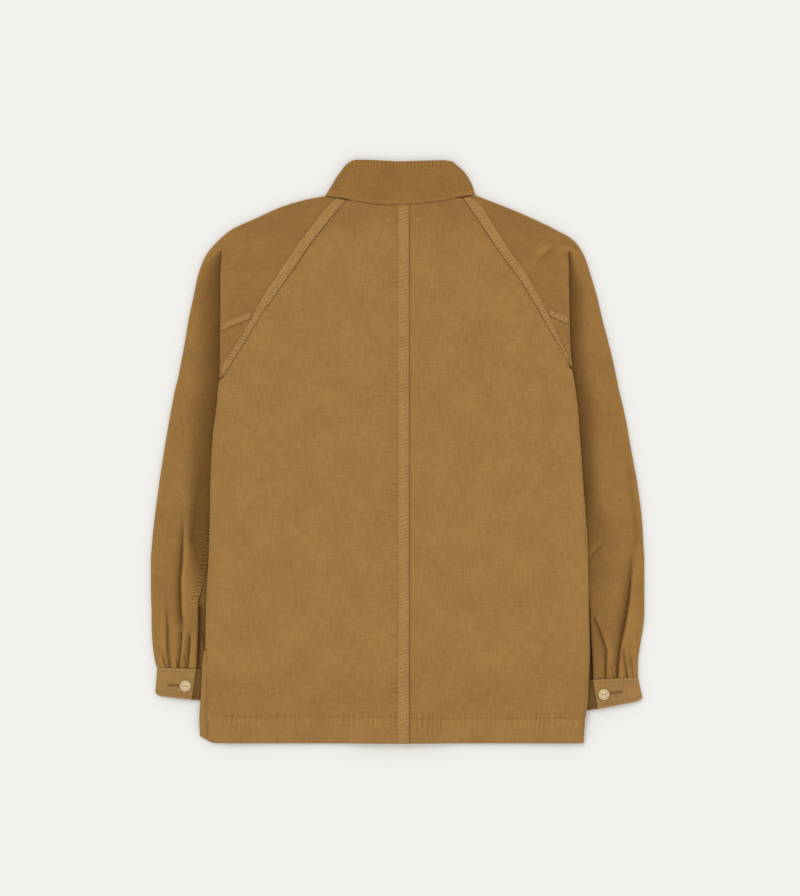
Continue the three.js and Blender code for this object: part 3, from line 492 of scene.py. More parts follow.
def slopes(t, values):
    """Slopes of a curve through values at t that keeps within its neighbours."""
    step = np.diff(t).reshape(-1, *([1] * (values.ndim - 1)))
    rate = np.diff(values, axis=0) / step
    slope = np.zeros_like(values)
    before, after = rate[:-1], rate[1:]
    weight_a = 2 * step[1:] + step[:-1]
    weight_b = step[1:] + 2 * step[:-1]
    same = before * after > 0
    safe_a = np.where(same, before, 1)
    safe_b = np.where(same, after, 1)
    mean = (weight_a + weight_b) / (weight_a / safe_a + weight_b / safe_b)
    slope[1:-1] = np.where(same, mean, 0)
    slope[0], slope[-1] = rate[0], rate[-1]
    return slope


def finer(values, counts, t):
    """Values along axis 0 with counts[n] cells in each stretch, and where each lies in it."""
    if len(values) > 2:
        slope = slopes(t, values)
    else:
        slope = np.repeat(np.diff(values, axis=0) / t[1], 2, axis=0)
    pieces, place = [], []
    for n, count in enumerate(counts):
        part = (np.arange(count) / count).reshape(-1, *([1] * (values.ndim - 1)))
        h = t[n + 1] - t[n]
        a, b = values[n], values[n + 1]
        pieces.append(
            (2 * part**3 - 3 * part**2 + 1) * a + (part**3 - 2 * part**2 + part) * h * slope[n]
            + (3 * part**2 - 2 * part**3) * b + (part**3 - part**2) * h * slope[n + 1]
        )
        place += [n + k / count for k in range(count)]
    pieces.append(values[-1:])
    return np.concatenate(pieces), np.array(place + [float(len(counts))])


def refine(grid, used, step, dense, dense_rows):
    """A fine grid of points through a coarse one, with each fine row's and column's place in it.
    dense is a range of coarse columns, or rows, and the closer step that they have."""
    fine, places = grid, []
    for axis, closer in ((1, dense), (0, dense_rows)):
        length = np.linalg.norm(np.diff(np.moveaxis(grid, axis, 0), axis=0), axis=2)
        mask = np.moveaxis(used, axis, 0)
        both = mask[1:] & mask[:-1]
        size = np.maximum((length * both).sum(1) / np.maximum(1, both.sum(1)), SMALLEST_CELL)
        steps = np.full(len(size), step)
        if closer:
            steps[closer[0]:closer[1]] = closer[2]
        counts = [max(1, math.ceil(s / t)) for s, t in zip(size, steps)]
        fine, place = finer(np.moveaxis(fine, axis, 0), counts, np.concatenate([[0], np.cumsum(size)]))
        fine = np.moveaxis(fine, 0, axis)
        places.append(place)
    return fine, places[1], places[0]


# %% [markdown]
# Real cloth is never quite flat. Soft noise gives each panel its slow waves, and the
# creases are given as troughs and ridges of uneven length and depth.

# %% Waves and creases
WAVE_COUNT = 6
WAVE_SUM = 3.2
GOLDEN_ANGLE = 2.399


def waves(x, y, seed, length):
    """Smooth noise from about -1 to 1: a few sine waves in fixed directions."""
    total = np.zeros_like(x)
    for n in range(WAVE_COUNT):
        angle = seed * 1.7 + n * GOLDEN_ANGLE
        size = length * (0.7 + 0.17 * n)
        phase = seed * 5.1 + n * n * 1.3
        total += np.sin((x * math.cos(angle) + y * math.sin(angle)) * 2 * math.pi / size + phase)
    return total / WAVE_SUM


CREASE = "x1 y1 x2 y2 height width"
CREASES = {
    "left": table(CREASE, [
        (325, -205, 322.5, -306, -0.9, 5), (304, -118, 307, -200, -0.9, 6),
        (307, -190, 304, -306, -1.1, 5), (292, -250, 295, -306, -0.9, 4),
        (315, -225, 313, -306, 0.8, 5), (333, -235, 330, -306, 0.7, 4),
    ]),
    "right": table(CREASE, [
        (321, 2, 336, -115, -0.8, 6), (336, -105, 317, -245, -0.9, 6),
        (318, -235, 309, -318, -1.0, 5), (323, -270, 321, -318, -0.8, 4),
        (283, -236, 295, -318, -1.0, 5), (302, -262, 301, -318, 0.8, 4),
        (316, -255, 315, -318, 0.7, 4), (331, -240, 330, -318, 0.7, 4),
        (267, -143, 293, -121, -0.3, 8),
    ]),
}


def crease_height(creases, x, y):
    height = np.zeros_like(x)
    for c in creases:
        ax, ay = c["x2"] - c["x1"], c["y2"] - c["y1"]
        long = math.hypot(ax, ay)
        reach = ((x - c["x1"]) * ax + (y - c["y1"]) * ay) / long**2
        off = ((x - c["x1"]) * ay - (y - c["y1"]) * ax) / long
        fade = ramp(-0.12, 0.3, reach) * ramp(1.15, 1.02, reach)
        height += c["height"] * fade * bell(off, c["width"])
    return height


def line_distance(line, x, y):
    """Distance to a polyline in plan, how far along it, and on which side."""
    best = np.full(x.shape, 1e9)
    along = np.zeros_like(x)
    side = np.zeros_like(x)
    done = 0.0
    for (x1, y1), (x2, y2) in zip(line[:-1], line[1:]):
        ax, ay = x2 - x1, y2 - y1
        long = math.hypot(ax, ay)
        reach = np.clip(((x - x1) * ax + (y - y1) * ay) / long**2, 0, 1)
        dx, dy = x - x1 - reach * ax, y - y1 - reach * ay
        distance = np.hypot(dx, dy)
        near = distance < best
        best = np.where(near, distance, best)
        along = np.where(near, done + reach * long, along)
        side = np.where(near, np.sign(ax * dy - ay * dx), side)
        done += long
    return best, along, side


def puckers(line, x, y, reach=14, pitch=7.5, seed=1):
    """Small ripples that run out from a stitched seam and die away."""
    distance, along, _ = line_distance(line, x, y)
    place = uneven(along, (1.6, 9.1, seed), (1.1, 4.3, 2 * seed))
    ripple = np.sin(2 * math.pi * place / pitch + 0.25 * distance)
    strength = 0.65 + 0.35 * np.sin(along / 23 + seed)
    return ripple * strength * bell(distance, reach)


# %% [markdown]
# The cloth builder. It takes a coarse grid of points on the middle of the cloth, makes it
# fine, moves it by the relief and gives it two faces and a soft rounded edge. It also
# measures the piece laid out flat and prints how the cloth was cut. A relief,
# a mark and a grain each get the points, their normals and their rows and columns.

# %% Cloth builder
EDGE_ROUND = 0.4
SHARPEST_CORNER = 0.4
GAP_SHOWN = 0.12
# Strength of the painted shade in the hollows of the relief and of the painted highlight on its ridges.
HOLLOW_SHADE = 1.6
RIDGE_HIGHLIGHT = 1.6
MOST_FROM_RELIEF = 0.6
FLOOR_CLEARANCE = 0.05
TINY = 1e-9
HALVES = (slice(None, -1), slice(1, None))
CORNERS = [(rows, columns) for rows in HALVES for columns in HALVES]


def cell_points(cells):
    """The points of a grid that belong to any of the marked cells."""
    used = np.zeros((cells.shape[0] + 1, cells.shape[1] + 1), bool)
    for corner in CORNERS:
        used[corner] |= cells
    return used


def cell_frames(points, keep, facing):
    """Unit normals and areas from the kept cells of a grid."""
    a, b = points[:-1, :-1], points[:-1, 1:]
    c, d = points[1:, 1:], points[1:, :-1]
    cross = np.cross(c - a, d - b) * facing
    area = np.linalg.norm(cross, axis=2) / 2
    unit = cross / np.maximum(TINY, 2 * area)[..., None] * keep[..., None]
    normal = np.zeros_like(points)
    for corner in CORNERS:
        normal[corner] += unit
    length = np.linalg.norm(normal, axis=2)
    return normal / np.maximum(TINY, length)[..., None], area * keep


def border_edges(keep):
    """Edges of the kept cells that have nothing beyond them: two corners and one inside."""
    beyond = np.pad(keep, 1)
    edges = []
    for i, j in np.argwhere(keep).tolist():
        if not beyond[i, j + 1]:
            edges.append(((i, j), (i, j + 1), (i + 1, j)))
        if not beyond[i + 2, j + 1]:
            edges.append(((i + 1, j + 1), (i + 1, j), (i, j)))
        if not beyond[i + 1, j]:
            edges.append(((i + 1, j), (i, j), (i, j + 1)))
        if not beyond[i + 1, j + 2]:
            edges.append(((i, j + 1), (i + 1, j + 1), (i, j)))
    return edges


def border_pull(points, edges):
    """How far each border point moves in from the edge."""
    total = {}
    for start, end, inner in edges:
        along = points[end] - points[start]
        along = along / max(TINY, np.linalg.norm(along))
        near = start if inner[0] == start[0] or inner[1] == start[1] else end
        inside = points[inner] - points[near]
        inside = inside - along * np.dot(inside, along)
        size = np.linalg.norm(inside)
        if size < 1000 * TINY:
            continue
        for corner in (start, end):
            entry = total.setdefault(corner, [np.zeros(3), 0])
            entry[0] += inside / size
            entry[1] += 1
    pull = {}
    for corner, (direction, count) in total.items():
        mean = direction / count
        pull[corner] = mean / max(SHARPEST_CORNER, float(mean @ mean))
    return pull


def hollows(moved):
    """How far each point lies below its neighbours."""
    padded = np.pad(moved, 1, mode="edge")
    around = padded[:-2, 1:-1] + padded[2:, 1:-1] + padded[1:-1, :-2] + padded[1:-1, 2:]
    return around / 4 - moved


def new_object(name, points, faces, *materials):
    """A mesh from points in millimetres, linked to the scene."""
    mesh = bpy.data.meshes.new(name)
    mesh.from_pydata((np.asarray(points) * MM).tolist(), [], faces)
    for material in materials:
        mesh.materials.append(material)
    obj = bpy.data.objects.new(name, mesh)
    bpy.context.scene.collection.objects.link(obj)
    return obj


def declare(obj, node=None):
    """Say what a piece rides on and which solid it stands for."""
    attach(obj, "root")
    if node:
        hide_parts(node)


def add_grain(mesh, uv, marks):
    """Give each corner its place in the grain, and each point its marks."""
    mesh.polygons.foreach_set("use_smooth", [True] * len(mesh.polygons))
    corner = np.zeros(len(mesh.loops), int)
    mesh.loops.foreach_get("vertex_index", corner)
    layer = mesh.uv_layers.new(name="grain")
    layer.data.foreach_set("uv", uv[corner].ravel())
    for mark, values in marks.items():
        attribute = mesh.attributes.new(mark, "FLOAT", "POINT")
        attribute.data.foreach_set("value", values)
    mesh.update()


def cloth(name, grid, facing, relief, keep=None, marks=(), grain=None, outward=CLOTH / 2,
          inward=CLOTH / 2, step=3.0, dense=None, dense_rows=None, upright=False):
    """A piece of cloth on a grid of points in millimetres. Returns the object, its cut and area.
    An upright panel is cut as long as it reaches in Y, and another as its longest line down."""
    grid = np.asarray(grid, float)
    coarse_keep = np.ones((grid.shape[0] - 1, grid.shape[1] - 1), bool)
    if keep:
        for i, j in np.ndindex(coarse_keep.shape):
            coarse_keep[i, j] = keep(i, j)
    used = cell_points(coarse_keep)
    points, row_at, column_at = refine(grid, used, step, dense, dense_rows)
    fine_keep = coarse_keep[np.ix_(row_at[:-1].astype(int), column_at[:-1].astype(int))]
    place = np.meshgrid(row_at, column_at, indexing="ij")
    normal, area = cell_frames(points, fine_keep, facing)
    wide = (np.linalg.norm(np.diff(points, axis=1), axis=2)[:-1] * fine_keep).sum(1).max()
    tall = (np.linalg.norm(np.diff(points, axis=0), axis=2)[:, :-1] * fine_keep).sum(0).max()
    if upright:
        tall = np.ptp(grid[used][:, 1])
    moved = relief(points, normal, *place)
    points = points + normal * moved[..., None]
    normal, _ = cell_frames(points, fine_keep, facing)
    uv_grid = (grain(points, *place) if grain else points[..., :2]) * MM
    inner = inward(points) if callable(inward) else np.full(moved.shape, inward)

    edges = border_edges(fine_keep)
    kept = cell_points(fine_keep)
    count = int(kept.sum())
    number = np.full(kept.shape, -1)
    number[kept] = np.arange(count)
    middle = points.copy()
    rim, rim_points = {}, []
    for corner, direction in border_pull(points, edges).items():
        rim[corner] = 2 * count + len(rim_points)
        lift = normal[corner] * (outward - inner[corner]) / 2
        rim_points.append(points[corner] + direction * GAP_SHOWN / 2 + lift)
        middle[corner] = points[corner] + direction * (GAP_SHOWN / 2 + EDGE_ROUND)
    top = (middle + normal * outward)[kept]
    bottom = (middle - normal * inner[..., None])[kept]
    vertices = np.vstack([top, bottom, np.array(rim_points)])
    vertices[:, 2] = np.maximum(vertices[:, 2], FLOOR_CLEARANCE)
    faces = []
    for i, j in np.argwhere(fine_keep):
        loop = [number[i, j], number[i, j + 1], number[i + 1, j + 1], number[i + 1, j]]
        if facing < 0:
            loop.reverse()
        faces.append([int(n) for n in loop])
        faces.append([int(n) + count for n in reversed(loop)])
    for start, end, _ in edges:
        if start in rim and end in rim:
            if facing < 0:
                start, end = end, start
            a, b = int(number[start]), int(number[end])
            faces.append([b, a, rim[start], rim[end]])
            faces.append([rim[end], rim[start], a + count, b + count])

    def on_all(values):
        """Values of the top, the bottom and the rim, in the order of the vertices."""
        return np.concatenate([values[kept], values[kept], [values[corner] for corner in rim]])

    def mark_at(mark):
        return marks[mark](points, normal, *place) if mark in marks else 0.0

    # Painted light from the relief's own shape: painted shade darkens the hollows and painted highlight
    # lightens the ridges. The piece's marks add more of each, and the deep mark adds deeper painted
    # shade.
    hollow = hollows(moved)
    wear_and_highlight = np.clip(np.clip(-RIDGE_HIGHLIGHT * hollow, 0, MOST_FROM_RELIEF) + mark_at("wear_and_highlight"), 0, 1)
    painted_shade = np.clip(np.clip(HOLLOW_SHADE * hollow, 0, MOST_FROM_RELIEF) + mark_at("painted_shade"), 0, 1)
    named = dict(wear_and_highlight=on_all(wear_and_highlight), painted_shade=on_all(painted_shade + mark_at("deep_shade")))
    if "rungs" in marks:
        named["rungs"] = on_all(mark_at("rungs"))
    obj = new_object(name, vertices, faces)
    add_grain(obj.data, on_all(uv_grid), named)
    print(f"{name}: {len(faces) * 2} triangles, cut {wide:.0f} x {tall:.0f} mm")
    return obj, (wide * MM, tall * MM), area.sum() * MM * MM


def finish_cloth(made, node, material):
    """Declare a finished piece of cloth: what it replaces and its finish."""
    obj, flat, area = made
    declare(obj, node)
    min(area, flat[0] * flat[1])
    obj.data.materials.append(material)


# %% [markdown]
# The look of corduroy. One node group draws the ribs from the cloth's own grain, another
# gives the garment its uneven wash and paints light and shade into its colour: paler where edges wear
# and with painted highlight on ridges and puckers, darker with painted shade in the hollows, creases
# and gaps.

# %% Node groups
def new_group(name, inputs, outputs):
    tree = bpy.data.node_groups.new(name, "ShaderNodeTree")
    for label, kind, value in inputs:
        tree.interface.new_socket(label, in_out="INPUT", socket_type=kind).default_value = value
    for label, kind in outputs:
        tree.interface.new_socket(label, in_out="OUTPUT", socket_type=kind)
    return tree, tree.nodes.new("NodeGroupInput"), tree.nodes.new("NodeGroupOutput")


def calc(tree, operation, *values):
    node = tree.nodes.new("ShaderNodeMath")
    node.operation = operation
    for socket, value in zip(node.inputs, values):
        if isinstance(value, (int, float)):
            socket.default_value = value
        else:
            tree.links.new(value, socket)
    return node.outputs[0]


def noise(tree, vector, scale, detail=2.0):
    node = tree.nodes.new("ShaderNodeTexNoise")
    node.inputs["Scale"].default_value = scale
    node.inputs["Detail"].default_value = detail
    tree.links.new(vector, node.inputs["Vector"])
    return node.outputs["Factor"] if "Factor" in node.outputs else node.outputs["Fac"]


def stretched(tree, vector, scale):
    node = tree.nodes.new("ShaderNodeMapping")
    node.inputs["Scale"].default_value = scale
    tree.links.new(vector, node.inputs["Vector"])
    return node.outputs["Vector"]


def grain_vector(tree):
    node = tree.nodes.new("ShaderNodeUVMap")
    node.uv_map = "grain"
    return node.outputs["UV"]


def mark_value(tree, name):
    node = tree.nodes.new("ShaderNodeAttribute")
    node.attribute_name = name
    return node.outputs["Factor"] if "Factor" in node.outputs else node.outputs["Fac"]


def around_zero(tree, factor, gain):
    """A factor from 0 to 1 as a swing about zero."""
    return calc(tree, "MULTIPLY", calc(tree, "SUBTRACT", factor, 0.5), gain)


RIB_PITCH = 0.0016
RIB_DRIFT = 0.0016
RUNG_PITCH = 0.0048
CLOUDS = dict(scale=22, gain=0.34)
STREAKS = dict(stretch=(420, 60, 1), gain=0.34)
SLUBS = dict(stretch=(90, 330, 1), gain=0.3)
RIB_SHADE, LEVEL = 0.08, 0.95
DEEP_SHADE = -0.62
RUNG_SHADE, RUNG_LEVEL = 0.5, 0.99

ribs, ribs_in, ribs_out = new_group(
    "corduroy_ribs",
    [("Pitch", "NodeSocketFloat", RIB_PITCH), ("Pile", "NodeSocketFloat", 0.35)],
    [("Height", "NodeSocketFloat")],
)
grain_uv = grain_vector(ribs)
split = ribs.nodes.new("ShaderNodeSeparateXYZ")
ribs.links.new(grain_uv, split.inputs[0])
drifted = calc(ribs, "ADD", split.outputs["X"], around_zero(ribs, noise(ribs, grain_uv, 38), RIB_DRIFT))
across = calc(ribs, "DIVIDE", drifted, ribs_in.outputs["Pitch"])
rib = calc(ribs, "SINE", calc(ribs, "MULTIPLY", across, 2 * math.pi))
rib = calc(ribs, "MULTIPLY_ADD", rib, 0.5, 0.5)
pile = calc(ribs, "MULTIPLY", noise(ribs, grain_uv, 700), ribs_in.outputs["Pile"])
ribs.links.new(calc(ribs, "ADD", rib, pile), ribs_out.inputs["Height"])

wash_and_light, wash_in, wash_out = new_group(
    "garment_wash_and_painted_light",
    [
        ("Color", "NodeSocketColor", (0.3, 0.2, 0.1, 1)), ("Rib", "NodeSocketFloat", 0.5),
        ("Wear And Highlight Gain", "NodeSocketFloat", 0.35),
        ("Painted Shade Tint", "NodeSocketColor", (0.36, 0.3, 0.21, 1)),
    ],
    [("Color", "NodeSocketColor")],
)
grain_uv = grain_vector(wash_and_light)
cloudy = around_zero(wash_and_light, noise(wash_and_light, grain_uv, CLOUDS["scale"], 5), CLOUDS["gain"])
streaks = noise(wash_and_light, stretched(wash_and_light, grain_uv, STREAKS["stretch"]), 1.0, 3)
slubs = noise(wash_and_light, stretched(wash_and_light, grain_uv, SLUBS["stretch"]), 1.0, 2)
level = calc(wash_and_light, "ADD", cloudy, around_zero(wash_and_light, streaks, STREAKS["gain"]))
level = calc(wash_and_light, "ADD", level, around_zero(wash_and_light, slubs, SLUBS["gain"]))
rib_level = calc(wash_and_light, "MULTIPLY_ADD", wash_in.outputs["Rib"], RIB_SHADE, LEVEL)
level = calc(wash_and_light, "ADD", level, rib_level)
# The wear mark lightens the colour, both where edges wear and where a highlight is painted.
worn_and_lit = calc(wash_and_light, "MULTIPLY_ADD", mark_value(wash_and_light, "wear_and_highlight"), wash_in.outputs["Wear And Highlight Gain"], 1.0)
level = calc(wash_and_light, "MULTIPLY", level, worn_and_lit)
# Painted shade beyond a full mark darkens the colour further.
deep_shade = calc(wash_and_light, "MAXIMUM", calc(wash_and_light, "SUBTRACT", mark_value(wash_and_light, "painted_shade"), 1.0), 0.0)
level = calc(wash_and_light, "MULTIPLY", level, calc(wash_and_light, "MULTIPLY_ADD", deep_shade, DEEP_SHADE, 1.0))
# Painted light and shade of puckers: stripes lighter and darker across the grain where the rungs mark
# is set.
place = wash_and_light.nodes.new("ShaderNodeSeparateXYZ")
wash_and_light.links.new(grain_uv, place.inputs[0])
wander = calc(wash_and_light, "MULTIPLY_ADD", noise(wash_and_light, grain_uv, 160), 0.006, place.outputs["Y"])
rung = calc(wash_and_light, "SINE", calc(wash_and_light, "MULTIPLY", wander, 2 * math.pi / RUNG_PITCH))
rung = calc(wash_and_light, "MULTIPLY", rung, mark_value(wash_and_light, "rungs"))
level = calc(wash_and_light, "MULTIPLY", level, calc(wash_and_light, "MULTIPLY_ADD", rung, RUNG_SHADE, RUNG_LEVEL))
tinted = wash_and_light.nodes.new("ShaderNodeVectorMath")
tinted.operation = "SCALE"
wash_and_light.links.new(wash_in.outputs["Color"], tinted.inputs[0])
wash_and_light.links.new(level, tinted.inputs["Scale"])
# Painted shade: the colour is multiplied towards a dark tint by the shade mark.
shaded = wash_and_light.nodes.new("ShaderNodeMix")
shaded.data_type = "RGBA"
shaded.blend_type = "MULTIPLY"
wash_and_light.links.new(calc(wash_and_light, "MINIMUM", mark_value(wash_and_light, "painted_shade"), 1.0), shaded.inputs[0])
wash_and_light.links.new(tinted.outputs[0], shaded.inputs[6])
wash_and_light.links.new(wash_in.outputs["Painted Shade Tint"], shaded.inputs[7])
wash_and_light.links.new(shaded.outputs[2], wash_out.inputs["Color"])

# %% Materials
RIB_DEPTH = 0.0005
RIB_STRENGTH = 0.6
SHEEN_TINT = (1.0, 0.86, 0.66, 1)


def set_inputs(node, values):
    """Set inputs by their labels, with _ for a space."""
    for label, value in values.items():
        node.inputs[label.replace("_", " ")].default_value = value


def use_group(tree, group, **values):
    node = tree.nodes.new("ShaderNodeGroup")
    node.node_tree = group
    set_inputs(node, values)
    return node


def plain(name, colour, roughness, **values):
    """A material of one colour. The values are inputs of its shader."""
    material = bpy.data.materials.new(name)
    material.use_nodes = True
    material.diffuse_color = (*colour, 1)
    shader = material.node_tree.nodes["Principled BSDF"]
    set_inputs(shader, dict(Base_Color=(*colour, 1), Roughness=roughness, **values))
    return material


def corduroy(name, colour):
    material = plain(
        name, colour, 0.92, Specular_IOR_Level=0.15, Sheen_Weight=0.12, Sheen_Roughness=0.5,
        Sheen_Tint=SHEEN_TINT,
    )
    tree = material.node_tree
    shader = tree.nodes["Principled BSDF"]
    rib_node = use_group(tree, ribs)
    wash_and_light_node = use_group(tree, wash_and_light, Color=(*colour, 1))
    bump = tree.nodes.new("ShaderNodeBump")
    set_inputs(bump, dict(Strength=RIB_STRENGTH, Distance=RIB_DEPTH))
    tree.links.new(rib_node.outputs["Height"], wash_and_light_node.inputs["Rib"])
    tree.links.new(rib_node.outputs["Height"], bump.inputs["Height"])
    tree.links.new(wash_and_light_node.outputs["Color"], shader.inputs["Base Color"])
    tree.links.new(bump.outputs["Normal"], shader.inputs["Normal"])
    return material


BODY = corduroy("corduroy_body", (0.36, 0.193, 0.054))
SLEEVE = corduroy("corduroy_sleeve", (0.325, 0.17, 0.045))
COLLAR = corduroy("corduroy_collar", (0.305, 0.153, 0.038))
SEAM = corduroy("corduroy_seam", (0.395, 0.221, 0.07))
CUFF_CORD = corduroy("corduroy_cuff", (0.36, 0.203, 0.063))
THREAD = plain("thread", (0.44, 0.27, 0.105), 0.85)
SHADE_THREAD = plain("thread_shaded", (0.15, 0.075, 0.02), 0.9)
HOLE_THREAD = plain("thread_buttonhole", (0.14, 0.062, 0.02), 0.9)
BUTTON = plain("button_horn", (0.72, 0.54, 0.29), 0.35, Coat_Weight=0.3)
# Dark beads in the button's holes: the thread wound there with painted shade inside the holes.
BUTTON_HOLE_THREAD_AND_SHADE = plain("button_hole_thread_and_shade", (0.05, 0.026, 0.01), 0.9)
# Painted shade for the sloping wall of the button's dish.
BUTTON_GROOVE_SHADE = plain("button_groove_painted_shade", (0.27, 0.17, 0.075), 0.5)
print("materials:", ", ".join(m.name for m in bpy.data.materials if m.name.startswith("cord")))


# %% [markdown]
# Each half of the jacket is built in its own mirror: X counts outward from the middle and
# is turned to the wearer's left or right at the end. First the lines that the relief
# follows: the raglan seams, the stitch line of the hem and the edge of the body.

# %% Lines and relief shared by the pieces
SIDES = (("left", -1), ("right", 1))
RAGLAN_PUCKER, CENTRE_PUCKER = 0.14, 0.2
HEM_STITCH = {
    "left": [(-26, -371.7), (22, -371.7), (220.5, -371.7), (248.5, -369), (265, -362)],
    "right": [(0, -366), (26, -374.5), (253, -373)],
}
BACK_CREASES = {
    "left": table(CREASE, [
        (220.5, 132, 153, 119.7, -0.2, 6), (240, 60, 200, 30, -0.3, 7),
        (248, -90, 205, -150, 0.3, 9), (150, -250, 120, -330, -0.25, 9),
    ]),
    "right": table(CREASE, [
        (204, 103, 222, 121, -0.16, 5), (100, 75, 118, 60, -0.14, 5),
        (232, 40, 190, -10, 0.3, 8), (235, -180, 180, -230, -0.25, 9),
    ]),
}


def section_line(name, x_key, y_key):
    return [(row[x_key], row[y_key]) for row in RAGLAN_ROWS[name]]


def valley_edge(name):
    """Where the body or the shoulder's fold lies over the sleeve, from the shoulder to the hem."""
    crest = [dict(y=r["crestY"], x=r["crestX"]) for r in RAGLAN_ROWS[name] if r["depth"] > 0]
    return lookup(crest + [r for r in SIDE_EDGE[name] if r["y"] < 98], "y", "x")


RAGLAN_LINE = {name: section_line(name, "inX", "inY") for name, _ in SIDES}
BODY_EDGE = {name: valley_edge(name) for name, _ in SIDES}


FOLD_START_Y = 262
VALLEY_DEPTH = 2.0
# Strength of the painted shade in the valley beside the body.
VALLEY_PAINTED_SHADE = 0.74
VALLEY = {
    "left": table("y start end share", [
        (283, 0, 4, 0), (279, 0, 7, 0.8), (270, 0, 18, 1), (261, 0, 26, 1), (226, 2, 46, 1),
        (142, 2, 44, 1), (72, 4, 50, 1), (2, 4, 46, 1), (-68, 18, 38, 1), (-124, 24, 36, 1),
        (-180, 3, 32, 0.9), (-225, 0, 16, 0.5), (-300, 0, 12, 0.4),
    ]),
    "right": table("y start end share", [
        (283, 0, 4, 0), (279, 0, 7, 0.95), (268, 0, 9, 1), (258, 0, 14, 1), (226, 2, 30, 1),
        (184, 4, 32, 1), (142, 0, 28, 1), (72, 4, 40, 1), (2, 4, 30, 1), (-68, 4, 28, 1),
        (-124, 0, 56, 0.6), (-180, 0, 56, 0.5), (-236, 0, 44, 0.35), (-315, 0, 40, 0.3),
    ]),
}


def valley(name, x, y):
    """The sleeve sinks beside the body into a soft hollow, where painted shade darkens it."""
    out = x - BODY_EDGE[name](y)
    start, end, share = (lookup(VALLEY[name], "y", key)(y) for key in ("start", "end", "share"))
    outside = np.where(y > FOLD_START_Y, ramp(-2, 0.5, out), 1)
    return (1 - ramp(start, end, out)) * share * outside


def valley_sink(name, x, y):
    """How far the valley moves the sleeve down. It ends above the cuff."""
    return -VALLEY_DEPTH * valley(name, x, y) * ramp(-215, -150, y)


FOLD = "line height dark wide narrow strength top bottom"
FOLDS = {
    "left": table(FOLD, [
        ([(299, -60), (299.3, -114), (301, -156), (303.4, -180), (302.7, -219), (299.3, -252)],
         1.3, 1, 7, 2.4, 0.78, 0.5, 0.9),
        ([(300, -240), (303, -278), (305.6, -303)], 1.0, 1, 4, 1.6, 0.7, 0.3, 2),
        ([(326, -205), (324.5, -245), (324, -273), (321.5, -296), (320.3, -304)],
         0.8, -1, 5, 1.8, 0.52, 0.5, 2),
        ([(331, -284), (328.5, -296), (324.5, -304)], 0.8, -1, 3, 1.2, 0.65, 0.4, 2),
        ([(289.5, -247), (289.8, -272), (292.9, -304)], 1.1, 1, 5, 1.6, 0.75, 0.35, 2),
        ([(298.6, -278), (295.1, -304)], 0.8, 1, 3, 1.4, 0.6, 0.4, 2),
        ([(312, -286), (309.5, -304)], 0.9, -1, 3, 1.2, 0.65, 0.4, 2),
    ]),
    "right": table(FOLD, [
        ([(330, -120), (327.9, -184), (325.5, -208), (322, -231), (317.4, -254), (312.6, -278),
          (309, -318)],
         1.5, -1, 9, 2.2, 0.92, 0.55, 2),
        ([(317.5, -268), (318.9, -292), (323.1, -317)], 0.9, -1, 4, 1.6, 0.7, 0.3, 2),
        ([(328.6, -284), (331.4, -317)], 0.7, -1, 3, 1.3, 0.55, 0.3, 2),
        ([(275.5, -229), (284.6, -250), (294, -278), (292.9, -318)], 1.1, -1, 5, 1.4, 0.8, 0.1, 2),
        ([(300.5, -298), (303.4, -318)], 0.7, -1, 3, 1.3, 0.5, 0.3, 2),
        ([(266, -158), (271.9, -144), (287, -128), (296, -118)], 0.6, -1, 6, 2.6, 0.42, 0.1, 0.4),
    ]),
}


SHOULDER_FOLDS = {
    "left": [],
    "right": table(FOLD, [
        ([(196, 292), (222, 291), (243, 288), (262, 278)], 0.5, 1, 7, 3, 0.3, 0.4, 0.75),
        ([(188, 262), (212, 283), (240, 300)], 0.4, -1, 9, 4, 0.2, 0.4, 0.6),
    ]),
}
UNDER_FOLDS = {
    "left": table(FOLD, [([(278, -246), (270, -274), (271.5, -306)], 0.3, -1, 3, 1.4, 0.5, 0.2, 2)]),
    "right": table(FOLD, [([(269.5, -231), (276, -280), (275, -318)], 0.2, -1, 2, 1.2, 0.5, 0.2, 2)]),
}


def fold_marks(folds, x, y):
    """Height of the sharp folds placed from the photograph, with the painted shade on their dark side
    and the painted highlight on their ridge.
    """
    height, dark, light = np.zeros_like(x), np.zeros_like(x), np.zeros_like(x)
    for fold in folds:
        line = fold["line"]
        length = sum(math.dist(a, b) for a, b in zip(line[:-1], line[1:]))
        distance, along, side = line_distance(line, x, y)
        part = along / length
        fade = ramp(0, fold["top"], part)
        if fold["bottom"] < 1:
            fade = fade * ramp(1, fold["bottom"], part)
        out = distance * side * fold["dark"]
        narrow, wide = fold["narrow"], fold["wide"]
        ridge = bell(np.minimum(out + narrow, 0), wide)
        ridge = ridge * bell(np.maximum(out + narrow, 0), narrow)
        trough = bell(out - narrow, narrow)
        shade = ramp(-0.9 * narrow, 0.4 * narrow, out) * np.exp(-((np.maximum(out, 0) / wide) ** 1.3))
        height += fold["height"] * (ridge - 0.5 * trough) * fade
        dark = np.maximum(dark, fold["strength"] * shade * fade)
        light = np.maximum(light, 0.45 * ridge * fade)
    return height, dark, light


def raglan_puckers(name, x, y):
    seed = 1 if name == "left" else 2
    return RAGLAN_PUCKER * puckers(RAGLAN_LINE[name], x, y, reach=11, pitch=7.2, seed=seed)


CENTRE_LINE = [(0, NECK_TOP_Y), (0, HEM_Y)]


def centre_puckers(points):
    ripple = puckers(CENTRE_LINE, points[..., 0] + 3, points[..., 1], reach=12, pitch=6.6, seed=3)
    return CENTRE_PUCKER * ripple


def hem_inward(points):
    """Half the cloth, and more where the hem is turned up."""
    return CLOTH / 2 + HEM_EXTRA * ramp(HEM_Y + HEM_HEIGHT + 3, HEM_Y + HEM_HEIGHT, points[..., 1])


